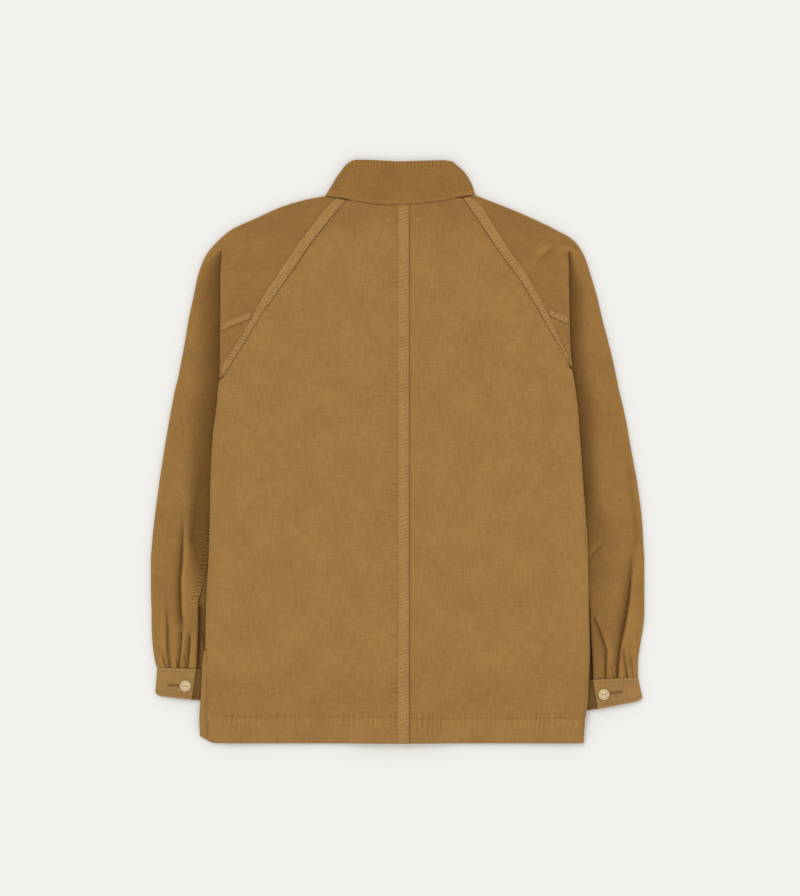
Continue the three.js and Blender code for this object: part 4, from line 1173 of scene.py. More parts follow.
def plan(points):
    """Outward X and Y of mirrored points, in millimetres."""
    return np.abs(points[..., 0]), points[..., 1]


def mirrored(side, grid):
    return np.array([[(side * p[0], p[1], p[2]) for p in row] for row in grid])


# %% [markdown]
# The back is two panels. Each runs from the centre seam out to the raglan seam, and below
# the underarm it rolls over the side of the body. The hem is turned up and a little thicker.

# %% Back
BACK_CELLS = dict(across=9, roll=5)
BODY_ROWS = [60, 20, -30, -80, -130, -180, -230, -270]
HEM_PITCH = 7.5
HEM_ROWS = [
    VENT_TOP_Y - 0.5, VENT_TOP_Y - 1.5, -315, -350, HEM_Y + HEM_HEIGHT, HEM_Y + HEM_HEIGHT / 2, HEM_Y,
]


def hem_relief(line, x, y, seed):
    """A stitched groove above the hem, and the small uneven ripples below it."""
    distance, along, _ = line_distance(line, x, y)
    groove = -0.3 * bell(distance, 1.8)
    place = uneven(along, (2.2, 13, seed), (1.4, 5.7, seed))
    ripple = stripes(place, HEM_PITCH) * (0.7 + 0.3 * np.sin(along / 31))
    below = (y < HEM_STITCH_Y) * bell(np.maximum(0, distance - 3), 16)
    above = (y >= HEM_STITCH_Y) * bell(distance, 5) * 0.6
    patchy = 0.55 + 0.45 * np.sin(along / 17 + 2 * seed) * np.sin(along / 7.3 + seed)
    return groove + 0.26 * ripple * patchy * (below + above)


def back_grid(name, side):
    raglan = RAGLAN_ROWS[name]
    rows = [(r["inY"], r["inX"], False) for r in raglan]
    below = [raglan[-1]["crestY"] - 0.4, *BODY_ROWS, *HEM_ROWS]
    rows += [(y, float(side_edge[name](y)), True) for y in below]
    radius = BODY_ROLL_RADIUS
    grid = []
    for i, (y, edge, roll) in enumerate(rows):
        flat_end = edge - radius - CLOTH / 2 if roll else edge
        top_z = float(back_height(edge, y) - vent_sink(side, edge, y))
        points = []
        for n in range(BACK_CELLS["across"] + 1):
            part = n / BACK_CELLS["across"]
            x = lerp(side * CENTRE_SEAM_X, flat_end, part)
            end = hem_y(side, x, y)
            if i == 0:
                end = lerp(float(back_neck(side * x)), y, float(ramp(0.75, 1, part)))
            points.append((x, end, float(back_height(x, y) - vent_sink(side, x, y))))
        roll_points = half_turn(BACK_CELLS["roll"], 0.5, radius, flat_end, top_z - radius)
        points += [(x, y, z) for x, z in roll_points]
        points.append((flat_end - 2, y, top_z - 2 * radius))
        grid.append(points)
    return grid, [row[0] for row in rows], len(raglan)


BACK_STEP = 2.7
HEM_LINE_STEP = 1.1
back_grids = {}
for name, side in SIDES:
    grid, row_y, roll_row = back_grid(name, side)
    back_grids[name] = grid
    vent_row = next(i for i, y in enumerate(row_y) if y < VENT_TOP_Y)

    def back_keep(i, j):
        if j < BACK_CELLS["across"]:
            return True
        return i >= roll_row and not (name == "left" and i >= vent_row)

    def back_relief(points, _normal, _row_at, column_at):
        x, y = points[..., 0] * side, points[..., 1]
        flat = ramp(BACK_CELLS["across"] + 1, BACK_CELLS["across"] - 0.5, column_at)
        move = 0.4 * waves(x, y, 3 + side, 150) + 0.12 * waves(x, y, 8 + side, 34)
        move += crease_height(BACK_CREASES[name], x, y) * 1.6
        move += centre_puckers(points) + raglan_puckers(name, x, y) * (y > RAGLAN_END_Y)
        move += hem_relief(HEM_STITCH[name], x, y, 2 + side)
        return move * flat

    def back_wear_and_highlight(points, *_):
        x, y = points[..., 0] * side, points[..., 1]
        distance, _, _ = line_distance(HEM_STITCH[name], x, y)
        ticks = stripes(uneven(x, (0.9, 7.1, 0), (0.7, 3.3, 0)), 4.9)
        ticks = np.clip(ticks, 0, 1) * ramp(2, 4, distance) * ramp(15, 8, distance)
        ticks = ticks * (0.6 + 0.4 * np.sin(x / 13 + side)) * (y < -370)
        hem = 0.1 * (y < -372) + 0.5 * ticks
        # Painted highlight on the crests of the raglan puckers.
        raglan = np.clip(raglan_puckers(name, x, y), 0, 1) * (y > RAGLAN_END_Y)
        middle = 0.12 * bell(points[..., 0] + 1, 2.5) * (points[..., 0] < 2)
        # Painted light along the back's edge at the left vent, lightening the shade that the step casts
        # there.
        vent = 0.55 * ramp(4, 0.5, side_edge[name](y) - x) * (y < VENT_TOP_Y) * (name == "left")
        return np.clip(hem + raglan + middle + vent, 0, 1)

    def back_painted_shade_and_tone(points, *_):
        # Painted shade in the hem's stitched groove and beside the side's roll; the body also darkens
        # towards the neck and towards the hem.
        x, y = points[..., 0] * side, points[..., 1]
        distance, _, _ = line_distance(HEM_STITCH[name], x, y)
        groove = 0.3 * bell(distance, 1.3) * (0.75 + 0.25 * np.sin(x / 11))
        edge = ramp(8, 1, side_edge[name](y) - x) * 0.08 * (y < 100)
        yoke = 0.16 * ramp(285, 335, y)
        low = 0.08 * ramp(-285, -330, y)
        return np.clip(groove + edge + yoke + low, 0, 1)

    made = cloth(
        f"{name}_back_cloth", mirrored(side, grid), -side, keep=back_keep, relief=back_relief,
        marks=dict(wear_and_highlight=back_wear_and_highlight, painted_shade=back_painted_shade_and_tone), inward=hem_inward, step=BACK_STEP,
        dense_rows=(len(grid) - 4, len(grid) - 3, HEM_LINE_STEP), upright=True,
    )
    finish_cloth(made, f"{name}_back", BODY)

# %% [markdown]
# The sleeves. One sheet runs from the raglan seam over the shoulder fold, along the top,
# round the outer edge and back underneath. The small part of the under sleeve that shows
# at the armpit is its own piece, and the rest of it closes the tube below the elbow seam.

# %% Sleeves
SLEEVE_STEP = 2.9
SLEEVE_TOP_STEP = 1.5
HEAD_STEP = 2.0
RAGLAN_ROW_COUNT = 13
FOLD_ROW = 7


def cuff_top(name, x):
    """Height down the sleeve of the cuff's top edge."""
    row = CUFF_ROWS[name][0]
    places = ("hidden", "lap", "out")
    return np.interp(x, [row[f"{place}X"] for place in places], [row[f"{place}Y"] for place in places])


GATHER_PITCH = 12.5
GATHER_REACH = 9


def gathers(name, x, y):
    """Short pleats where the sleeve is gathered into the cuff."""
    above = np.maximum(0, y - cuff_top(name, x))
    seed = 1.3 if name == "left" else 0.4
    place = uneven(x, (2.5, 9, seed)) + 0.08 * above
    return 0.4 * np.sin(2 * math.pi * place / GATHER_PITCH + seed) * np.exp(-above / GATHER_REACH)


def on_shoulder(column_at):
    """1 from the raglan seam to near the crest of the shoulder's fold."""
    return ramp(CELLS["shoulder"] + 1, CELLS["shoulder"] - 1, column_at)


def sleeve_relief(name, side):
    def relief(points, _, row_at, column_at):
        x, y = plan(points)
        lowest = len(RAGLAN_ROWS[name]) - 1
        inner = ramp(TOP_START, TOP_START + 1.2, column_at)
        inner = np.maximum(inner, ramp(lowest - 0.2, lowest + 0.8, row_at))
        top = inner * (column_at > TOP_START - 1) * ramp(OUTER_START + 0.5, OUTER_START - 1, column_at)
        move = 0.9 * crease_height(CREASES[name], x, y) + valley_sink(name, x, y)
        move += fold_marks(FOLDS[name], x, y)[0] + gathers(name, x, y)
        move += 0.3 * waves(x, y, 5 + side, 95) + 0.12 * waves(x, y, 9 + side, 26)
        soft = 0.4 * waves(x, y, 4 + side, 110) + 0.12 * waves(x, y, 11 + side, 28)
        soft = soft + fold_marks(SHOULDER_FOLDS[name], x, y)[0]
        shoulder_move = soft * ramp(0, 2, column_at) + raglan_puckers(name, x, y)
        shoulder_move = shoulder_move * on_shoulder(column_at) * (row_at < lowest + 0.5)
        under = ramp(OUTER_START + 3.5, OUTER_START + 5, column_at)
        under = under * ramp(OUTER_START + 7, OUTER_START + 6, column_at)
        floor_move = -(0.45 + 0.3 * waves(x, y, 6 + side, 90)) * under
        slope = ramp(CELLS["shoulder"] - 1, TOP_START, column_at)
        slope = slope * ramp(TOP_START + 1, TOP_START, column_at) * (row_at < FOLD_ROW)
        return move * top + shoulder_move + floor_move + 0.25 * soft * slope
    return relief


def sleeve_painted_shade(name):
    def painted_shade(points, _normal, _row_at, column_at):
        # Painted shade: in the valley beside the body, on the dark side of the folds, in the creases'
        # troughs and in the slit by the elbow seam.
        x, y = plan(points)
        dark = np.maximum(VALLEY_PAINTED_SHADE * valley(name, x, y), fold_marks(FOLDS[name], x, y)[1])
        upper = fold_marks(SHOULDER_FOLDS[name], x, y)[1] * (y > 225) * (column_at < OUTER_START)
        trough = np.clip(-crease_height(CREASES[name], x, y), 0, 1) * 0.16
        under = ramp(OUTER_START + 2, OUTER_START, column_at)
        top = (column_at > TOP_START - 3) * under
        slit = 0.6 * ramp(3.5, 0, x - elbow_seam[name](y)) * (y < -205)
        return np.clip((dark + trough) * top + slit * top + upper, 0, 1)
    return painted_shade


def elbow_pucker_light_and_shade(points, _normal, _row_at, column_at):
    """Where the painted light and shade of the puckers lie: the band that follows the left elbow seam
    down to the slit.
    """
    x, y = plan(points)
    out = x - elbow_seam["left"](y)
    columns = bell(out - 3, 1.6) + bell(out - 8, 2.2)
    top = (column_at >= TOP_START) * (column_at < OUTER_START)
    return columns * ramp(-62, -92, y) * ramp(-218, -210, y) * top


def sleeve_highlight_and_wear(name):
    def wear_and_highlight(points, _, row_at, column_at):
        # Painted highlight on the shoulder fold's crest, on the ridges of creases and folds, on the
        # raglan puckers and on the gathers; the colour is also lighter along the outer edge.
        x, y = plan(points)
        crest = bell(column_at - CELLS["shoulder"] - 1, 1.5) * (row_at > FOLD_ROW - 1) * 0.25
        outer = bell(column_at - OUTER_START - 1.2, 2.0) * 0.2
        ridge = np.clip(crease_height(CREASES[name], x, y), 0, 1) * 0.2
        ridge = ridge + fold_marks(FOLDS[name], x, y)[2]
        ridge = ridge + fold_marks(SHOULDER_FOLDS[name], x, y)[2] * (column_at < OUTER_START)
        pucker_highlight = np.clip(raglan_puckers(name, x, y), 0, 1)
        pucker_highlight = pucker_highlight * (row_at < RAGLAN_ROW_COUNT) * (column_at < CELLS["shoulder"])
        return np.clip(crest + outer + ridge + pucker_highlight + 0.25 * np.clip(gathers(name, x, y), 0, 1), 0, 1)
    return wear_and_highlight


def sleeve_grain(points, _, column_at):
    """Ribs run down the sleeve: across is measured from the outer edge along each section."""
    step = np.linalg.norm(np.diff(points, axis=1), axis=2)
    along = np.concatenate([np.zeros((len(points), 1)), np.cumsum(step, axis=1)], axis=1)
    zero = int(np.argmin(np.abs(column_at[0] - OUTER_START)))
    down = np.linalg.norm(np.diff(points[:, zero], axis=0), axis=1)
    v = np.concatenate([[0], np.cumsum(down)])
    u = along - along[:, zero:zero + 1]
    return np.stack([u, np.repeat(-v[:, None], u.shape[1], axis=1)], axis=2)


def along_row(row, distance):
    """A point a distance along a section."""
    left = distance
    for a, b in zip(row[:-1], row[1:]):
        size = float(np.linalg.norm(b - a))
        if left <= size:
            return lerp(a, b, left / size)
        left -= size
    return row[-1]


def at_x(row, x):
    """A point on a section at a given X."""
    n = next(k for k in range(len(row) - 1) if row[k + 1][0] >= x)
    return lerp(row[n], row[n + 1], (x - row[n][0]) / (row[n + 1][0] - row[n][0]))


sections = {}
for name, side in SIDES:
    raglan = RAGLAN_ROWS[name]
    upper = [raglan_section(row) for row in raglan]
    sections[name] = upper
    lower = [lower_section(row) for row in LOWER_ROWS[name]]
    lower[-1] = end_on_cuff(name, lower[-1])
    lowest = len(raglan) - 1

    def sleeve_keep(i, j):
        if i < ELBOW_ROW:
            return True
        return j >= BEND_START if i < lowest else j >= TOP_START

    marks = dict(wear_and_highlight=sleeve_highlight_and_wear(name), painted_shade=sleeve_painted_shade(name))
    if name == "left":
        marks["rungs"] = elbow_pucker_light_and_shade
    made = cloth(
        f"{name}_top_sleeve_cloth", mirrored(side, upper + lower), -side, keep=sleeve_keep,
        relief=sleeve_relief(name, side), marks=marks, grain=sleeve_grain, step=SLEEVE_STEP,
        dense=(TOP_START, OUTER_START + 1, SLEEVE_TOP_STEP),
    )
    finish_cloth(made, f"{name}_top_sleeve", SLEEVE)

    head = []
    for row in upper[ELBOW_ROW:]:
        head.append([*row[:BEND_START], lerp(row[BEND_START], row[BEND_START - 1], 0.1)])

    def head_relief(points, _normal, _row_at, column_at):
        x, y = plan(points)
        soft = 0.3 * waves(x, y, 4 + side, 110) * ramp(0, 2, column_at)
        return (soft + raglan_puckers(name, x, y)) * on_shoulder(column_at)

    made = cloth(
        f"{name}_under_sleeve_head_cloth", mirrored(side, head), -side, relief=head_relief,
        marks=dict(wear_and_highlight=sleeve_highlight_and_wear(name)), step=HEAD_STEP,
    )
    finish_cloth(
        made, f"{name}_under_sleeve_head", SLEEVE
    )

# %% [markdown]
# Felled seams are narrow strips with their own thickness. Each is pulled up between its
# rows of stitches, so it has small ridges across it like the rungs of a ladder.

# %% Seam strips
STRIP_LIFT = CLOTH / 2 + GAP + STRIP / 2
STRIP_STEP = 1.3
RAGLAN_NARROW = 0.75
RAGLAN_PITCH, ELBOW_PITCH, CENTRE_PITCH = 5.2, 6.0, 4.7
STITCH_ROWS = (0.16, 0.83)


def ladder(line, width, pitch, seed, base):
    """Relief, painted highlight on the ridges and edges, painted shade in the dips and stitch rows, and
    grain for a strip that runs along a line.
    """
    def parts(points):
        distance, along, _ = line_distance(line, points[..., 0], points[..., 1])
        part = distance / width
        place = uneven(along, (1.9, 11, seed), (0.8, 4.3, seed))
        rung = 0.8 * stripes(place - 0.3 * distance, pitch)
        rung += 0.2 * np.sin(2 * math.pi * (place * 1.37 - 0.2 * distance) / pitch + 2 * seed)
        rung *= 0.66 + 0.42 * np.sin(along / 19 + seed) * np.sin(along / 8.1)
        return part, rung, ramp(0.12, 0.2, part) * ramp(0.82, 0.7, part)

    def rows(part, width):
        return sum(bell(part - row, width) for row in STITCH_ROWS)

    def relief(points, *_):
        part, rung, inner = parts(points)
        move = base(points) + 0.32 * rung * inner
        return move - 0.3 * rows(part, 0.06) + 0.2 * bell(part - 0.04, 0.08)

    # Painted highlight on the rungs' crests and along both edges.
    def wear_and_highlight(points, *_):
        part, rung, inner = parts(points)
        edge = 0.4 * bell(part - 0.08, 0.06) + 0.45 * bell(part - 0.9, 0.05)
        return np.clip(0.45 * np.clip(rung, 0, 1) * inner + edge, 0, 1)

    # Painted shade in the stitch rows and between the rungs.
    def painted_shade(points, *_):
        part, rung, inner = parts(points)
        return np.clip(0.16 * rows(part, 0.05) + 0.2 * np.clip(-rung, 0, 1) * inner, 0, 1)

    def grain(points, *_):
        distance, along, _ = line_distance(line, points[..., 0], points[..., 1])
        return np.stack([distance, along], axis=2)

    return dict(relief=relief, marks=dict(wear_and_highlight=wear_and_highlight, painted_shade=painted_shade), grain=grain)


def seam_strip(node, grid, facing, look):
    """A strip raised onto the cloth that it is sewn to."""
    raised = np.array(grid, float)
    raised[..., 2] += STRIP_LIFT
    made = cloth(
        f"{node}_cloth", raised, facing, step=STRIP_STEP, outward=STRIP / 2, inward=STRIP / 2, **look
    )
    finish_cloth(made, node, SEAM)


for name, side in SIDES:
    upper = sections[name]
    near_end = [lerp(a, b, 0.5) for a, b in zip(upper[-1], upper[-2])]
    strip = []
    for row in [*upper[:-1], near_end, upper[-1]]:
        to_crest = float(np.linalg.norm(row[CELLS["shoulder"]] - row[0]))
        width = min(RAGLAN_STRIP_WIDTH, to_crest * STRIP_SHARE)
        strip.append([along_row(row, width * n / 2) for n in range(3)])
    line = [(side * x, y) for x, y in RAGLAN_LINE[name]]
    look = ladder(
        line, RAGLAN_STRIP_WIDTH * RAGLAN_NARROW, RAGLAN_PITCH, 1.1 * side,
        lambda points: raglan_puckers(name, *plan(points)),
    )
    seam_strip(f"{name}_raglan_seam", mirrored(side, strip), -side, look)

    row, above = upper[ELBOW_ROW], upper[ELBOW_ROW - 1]
    first = along_row(row, RAGLAN_STRIP_WIDTH + GAP * 2)[0]
    last = row[CELLS["shoulder"]][0]
    elbow = []
    for share in (1, 0):
        points = []
        for n in range(CELLS["shoulder"] + 1):
            x = lerp(first, last, n / CELLS["shoulder"])
            here, there = at_x(row, x), at_x(above, x)
            reach = ELBOW_STRIP_WIDTH / float(np.linalg.norm(there - here))
            points.append(lerp(here, there, share * reach))
        elbow.append(points)
    line = [(side * p[0], p[1]) for p in elbow[1]]
    look = ladder(
        line, ELBOW_STRIP_WIDTH, ELBOW_PITCH, 2.3 * side, lambda points: np.zeros(points.shape[:2])
    )
    seam_strip(f"{name}_elbow_seam", mirrored(side, elbow), -side, look)

centre = []
for row in mirrored(-1, back_grids["left"]):
    points = []
    for n in range(3):
        x = CENTRE_SEAM_X - CENTRE_STRIP_WIDTH * n / 2
        points.append(lerp(row[0], row[1], (row[0][0] - x) / (row[0][0] - row[1][0])))
    centre.append(points)
line = [(CENTRE_SEAM_X, NECK_TOP_Y), (CENTRE_SEAM_X, HEM_Y)]
look = ladder(line, CENTRE_STRIP_WIDTH, CENTRE_PITCH, 0.7, centre_puckers)
seam_strip("centre_back_seam", centre, 1, look)

# %% [markdown]
# The rest of the under sleeves, folded under the body, and the fronts, which lie on the
# floor with their outer side down. Little of them shows, so their cells are wider.

# %% Under sleeves and fronts
UNDER_CELLS = dict(floor=1, roll=4, top=4)
UNDER_STEP = 3.4
UNDER_DENSE = (6, 9, 1.3)
HIDDEN_STEP = 4.2
SLIT_SHADE = 3.2
UNDER_SHADE = {"left": 0.72, "right": 0.9}
for name, side in SIDES:
    grid = []
    for row in LOWER_ROWS[name]:
        y = row["y"]
        floor_start = lerp(row["outX"], row["hiddenX"], FOREARM_SHARE)
        top_z = lerp(SLEEVE_TOP_Z, UNDERLAP_Z, float(ramp(-150, CUFF_SLIT_Y, y)))
        radius = (top_z - FLOOR_Z) / 2
        middle = row["hiddenX"] + radius + CLOTH / 2
        reach = row["seamX"] + (SLIT_LAP if y < CUFF_SLIT_Y else 0)
        edge_z = lerp(SLEEVE_TOP_Z, UNDERLAP_Z, float(ramp(-185, -212, y)))
        points = [(floor_start, y, FLOOR_Z), (middle, y, FLOOR_Z)]
        roll_points = half_turn(UNDER_CELLS["roll"], 1.5, radius, middle, FLOOR_Z + radius)
        points += [(x, y, z) for x, z in roll_points]
        for n in range(1, UNDER_CELLS["top"] + 1):
            part = n / UNDER_CELLS["top"]
            points.append((lerp(middle, reach, part), y, lerp(top_z, edge_z, part)))
        grid.append(points)

    grid[-1] = end_on_cuff(name, grid[-1])

    def under_relief(points, _normal, _row_at, column_at):
        x, y = plan(points)
        top = ramp(5, 6, column_at)
        sink = valley_sink(name, x, y) * top * ramp(7.2, 8.6, column_at)
        soft = 0.3 * waves(x, y, 7 + side, 40) * top * ramp(9, 8, column_at) * (y > -150)
        return sink + soft

    def under_painted_shade(points, *_):
        # Painted shade where the under sleeve lies hidden by the slit, in the valley beside the body
        # and on the folds' dark side.
        x, y = plan(points)
        hidden = UNDER_SHADE[name] * ramp(-200, -225, y)
        dark = np.maximum(VALLEY_PAINTED_SHADE * valley(name, x, y), hidden)
        return np.clip(dark + fold_marks(UNDER_FOLDS[name], x, y)[1], 0, 1)

    def under_fold_highlight(points, *_):
        # Painted highlight on the folds' ridges.
        return fold_marks(UNDER_FOLDS[name], *plan(points))[2]

    def under_slit_shade(points, *_):
        # Deeper painted shade in the slit beside the elbow seam.
        x, y = plan(points)
        inside = elbow_seam[name](y) - x
        return ramp(SLIT_SHADE + 2, SLIT_SHADE - 2, inside) * ramp(-208, -222, y)

    made = cloth(
        f"{name}_under_sleeve_cloth", mirrored(side, grid), -side, relief=under_relief,
        marks=dict(painted_shade=under_painted_shade, wear_and_highlight=under_fold_highlight, deep_shade=under_slit_shade), step=UNDER_STEP,
        dense=UNDER_DENSE,
    )
    finish_cloth(
        made, f"{name}_under_sleeve", SLEEVE
    )

FRONT_CELLS = dict(across=6, beyond=4)
FRONT_INNER_X = (135, 190)
FRONT_STATIONS = [-LAP_HALF, LAP_HALF + 3, 38, 60]
for name, side in SIDES:
    raglan = RAGLAN_ROWS[name]
    seam_in = BODY_ROLL_RADIUS + CLOTH / 2 + 2
    rows = [(r["frontY"], r["frontX"], r["frontX"]) for r in raglan]
    for y in [ARMHOLE_END_Y, *BODY_ROWS, *HEM_ROWS]:
        vented = side < 0 and y < VENT_TOP_Y - 1
        peek = float(vent_edge(y) if vented else side_edge[name](y) - seam_in)
        rows.append((y, lerp(*FRONT_INNER_X, float(ramp(ARMHOLE_END_Y, HEM_Y, y))), peek))
    grid = []
    for i, (y, armhole, end) in enumerate(rows):
        points = []
        for n in range(FRONT_CELLS["across"] + 1):
            last = len(FRONT_STATIONS) - 1
            if n <= last:
                x = FRONT_STATIONS[n]
            else:
                x = lerp(FRONT_STATIONS[last], armhole, (n - last) / (FRONT_CELLS["across"] - last))
            neck = min(rows[0][0], float(front_neck(x)) - NECK_EASE)
            down = min(1, (rows[0][0] - y) / (rows[0][0] - ARMHOLE_END_Y))
            points.append([x, lerp(neck, ARMHOLE_END_Y, down) if down < 1 else y, 0])
        for n in range(1, FRONT_CELLS["beyond"] + 1):
            points.append([lerp(armhole, end, n / FRONT_CELLS["beyond"]), y, 0])
        for point in points:
            flat = min(point[1], ARMHOLE_END_Y) if i >= len(raglan) else point[1]
            point[2] = float(front_height(side, point[0], flat))
            point[1] = hem_y(side, point[0], point[1])
        grid.append(points)

    def front_keep(i, j):
        return j < FRONT_CELLS["across"] or i >= len(raglan)

    def front_relief(points, _normal, _row_at, column_at):
        x, y = plan(points)
        inside = ramp(0, 0.6, column_at) * ramp(9.8, 9, column_at)
        return -(0.3 + 0.25 * waves(x, y, 12 + side, 120)) * inside

    made = cloth(
        f"{name}_front_cloth", mirrored(side, grid), side, keep=front_keep, relief=front_relief,
        inward=hem_inward, step=HIDDEN_STEP, upright=True,
    )
    finish_cloth(made, f"{name}_front", BODY)

# %% [markdown]
# The collar is one stiff band folded flat, and each cuff a lapped band with a button.

# %% Collar
COLLAR_CELLS = dict(front=6, fold=4, back=12, rows=3)
COLLAR_ENDS = (-101.5, 109)
COLLAR_TOP_ENDS = (-73.5, 79)


def collar_grid():
    radius = (COLLAR_BACK_Z - COLLAR_FRONT_Z) / 2
    edge = radius + COLLAR_CLOTH / 2
    cells = COLLAR_CELLS
    grid = []
    for n in range(cells["rows"] + 1):
        part = n / cells["rows"]
        left_x, left_y, right_x, right_y = (
            float(lookup(COLLAR_FOLD[name], "part", key)(part)) for name, _ in SIDES for key in "xy"
        )
        inner_left, inner_right = left_x + edge, right_x - edge

        def share(x):
            return (x - left_x) / (right_x - left_x)

        def base(x):
            return float(back_neck(lerp(*COLLAR_ENDS, share(x))))

        def top(x):
            return float(collar_top(lerp(*COLLAR_TOP_ENDS, share(x))))

        def back_y(x):
            w = share(x)
            ends = (1 - w) * (left_y - lerp(base(left_x), top(left_x), part))
            ends += w * (right_y - lerp(base(right_x), top(right_x), part))
            return lerp(base(x), top(x), part) + ends

        def front_y(x):
            low = float(front_neck(lerp(*COLLAR_ENDS, share(x))))
            w = abs(2 * share(x) - 1) ** NECK_POWER
            return lerp(low + 46 * part, left_y if x < 0 else right_y, float(ramp(0.6, 1, w)))

        def roll(centre, start, end):
            points = []
            for k in range(cells["fold"] + 1):
                angle = lerp(start, end, k / cells["fold"]) * math.pi
                x = centre + (radius + COLLAR_CLOTH / 2) * math.cos(angle)
                y = back_y(x) if math.sin(angle) >= 0 else front_y(x)
                z = COLLAR_FRONT_Z + radius + radius * math.sin(angle)
                points.append((centre + radius * math.cos(angle), y, z))
            return points

        def flat(count, start, end, height, z, near_ends=0.0):
            points = []
            for k in range(count + 1):
                turn = lerp(k / count, (1 - math.cos(math.pi * k / count)) / 2, near_ends)
                x = lerp(start, end, turn)
                points.append((x, height(x), z))
            return points

        grid.append([
            *flat(cells["front"], 0, inner_right, front_y, COLLAR_FRONT_Z)[:-1],
            *roll(inner_right, -0.5, 0.5),
            *flat(cells["back"], inner_right, inner_left, back_y, COLLAR_BACK_Z, 0.7)[1:-1],
            *roll(inner_left, 0.5, 1.5),
            *flat(cells["front"], inner_left, 0, front_y, COLLAR_FRONT_Z)[1:],
        ])
    return grid


COLLAR_LAST = COLLAR_CELLS["rows"]
COLLAR_STEP = 1.5
COLLAR_TOP_STITCH = 11.0
COLLAR_BASE_STITCH = 8.5
COLLAR_PITCH = 5.1
COLLAR_FOOT_PITCH = 6.3
COLLAR_SHIFTS = ((0.8, 6.1, 0), (0.5, 2.7, 0))


def band_distances(points):
    """Distance of each point of a band from its first row and from its last."""
    down = np.linalg.norm(np.diff(points, axis=0), axis=2)
    rise = np.concatenate([np.zeros((1, points.shape[1])), np.cumsum(down, axis=0)])
    return rise, rise[-1] - rise


def collar_parts(points):
    """Distance below the top edge and above the foot's stitches, and how near the top is.
    The stitched band at the foot is deeper at the wearer's left end."""
    above, below = band_distances(points)
    foot = above - (COLLAR_BASE_STITCH + 2.5 * ramp(-60, -95, points[..., 0]))
    return below, foot, ramp(COLLAR_TOP_STITCH, COLLAR_TOP_STITCH - 3, below)


def collar_relief(points, normal, row_at, *_):
    below, foot, near_top = collar_parts(points)
    x, y = points[..., 0], points[..., 1]
    place = uneven(x, *COLLAR_SHIFTS)
    grooves = bell(below - COLLAR_TOP_STITCH, 1.3) + bell(foot, 1.3)
    soft = 0.35 * waves(x, y, 2.2, 55) + 0.2 * waves(x, y, 5.2, 22)
    ripple = 0.26 * stripes(place, COLLAR_PITCH) * near_top
    ripple = ripple + 0.16 * stripes(place, COLLAR_FOOT_PITCH) * ramp(1, -4, foot)
    fade = ramp(0, 0.5, row_at) * ramp(COLLAR_LAST, COLLAR_LAST - 0.4, row_at)
    return (soft * fade + ripple - 0.32 * grooves) * np.clip(normal[..., 2], 0, 1)


def collar_wear_and_highlight(points, *_):
    # Painted highlight on the ripples' crests near the top and at the foot, a lighter band at the foot
    # and wear along the top edge.
    below, foot, near_top = collar_parts(points)
    rungs = np.clip(stripes(uneven(points[..., 0], *COLLAR_SHIFTS), COLLAR_PITCH), 0, 1)
    foot_wear_and_highlight = (0.12 + 0.3 * rungs) * ramp(2, -4, foot)
    return np.clip(0.7 * rungs * near_top + foot_wear_and_highlight + 0.15 * ramp(1.5, 0, below), 0, 1)


def collar_painted_shade(points, *_):
    # Painted shade in the stitched grooves and in the ripples' dips near the top.
    below, foot, near_top = collar_parts(points)
    dips = np.clip(-stripes(uneven(points[..., 0], COLLAR_SHIFTS[0]), COLLAR_PITCH), 0, 1)
    rows = 0.12 * bell(below - COLLAR_TOP_STITCH, 1.2) + 0.22 * bell(foot, 1.2)
    return rows + 0.22 * dips * near_top


half_collar = COLLAR_CLOTH / 2
made = cloth(
    "collar_cloth", collar_grid(), 1, relief=collar_relief,
    marks=dict(wear_and_highlight=collar_wear_and_highlight, painted_shade=collar_painted_shade), outward=half_collar, inward=half_collar,
    step=COLLAR_STEP,
)
finish_cloth(made, "collar", COLLAR)

# %% Cuffs
CUFF_CELLS = dict(lap=8, outer=4, floor=5, fold=4, underlap=6, rows=3)
CUFF_STEP = 1.6
UNDERLAP_START = sum(CUFF_CELLS[part] for part in ("lap", "outer", "floor", "fold"))
CUFF_STITCH = 5.0
half_cuff = CUFF_CLOTH / 2


def cuff_grid(name):
    top, bottom = CUFF_ROWS[name]
    outer_radius = (CUFF_OUTER_Z - CUFF_FLOOR_Z) / 2
    fold_radius = (CUFF_UNDERLAP_Z - CUFF_FLOOR_Z) / 2
    cells = CUFF_CELLS
    grid = []
    for n in range(cells["rows"] + 1):
        at = {key: lerp(top[key], bottom[key], n / cells["rows"]) for key in top}

        def height(x):
            corner = max(0, (x - at["outX"] + CUFF_CORNER_REACH) / CUFF_CORNER_REACH) ** 2
            return band_line(at, x) + CUFF_CORNER_RISE * corner * (n / cells["rows"]) ** 3

        outer = at["outX"] - outer_radius - half_cuff
        fold = at["hiddenX"] + fold_radius + half_cuff
        points = []
        for k in range(cells["lap"] + 1):
            x = lerp(at["lapX"], outer, k / cells["lap"])
            sink = float(ramp(at["lapX"] + UNDERLAP_REACH + 2, outer, x))
            points.append((x, height(x), lerp(CUFF_LAP_Z, CUFF_OUTER_Z, sink)))
        roll_points = half_turn(cells["outer"], 0.5, outer_radius, outer, CUFF_FLOOR_Z + outer_radius)
        points += [(x, height(x), z) for x, z in roll_points]
        for k in range(1, cells["floor"] + 1):
            x = lerp(outer, fold, k / cells["floor"])
            points.append((x, height(x), CUFF_FLOOR_Z))
        roll_points = half_turn(cells["fold"], 1.5, fold_radius, fold, CUFF_FLOOR_Z + fold_radius)
        points += [(x, height(x), z) for x, z in roll_points]
        for k in range(1, cells["underlap"] + 1):
            x = lerp(fold, at["lapX"] + UNDERLAP_REACH, k / cells["underlap"])
            points.append((x, height(x), CUFF_UNDERLAP_Z))
        grid.append(points)
    return grid


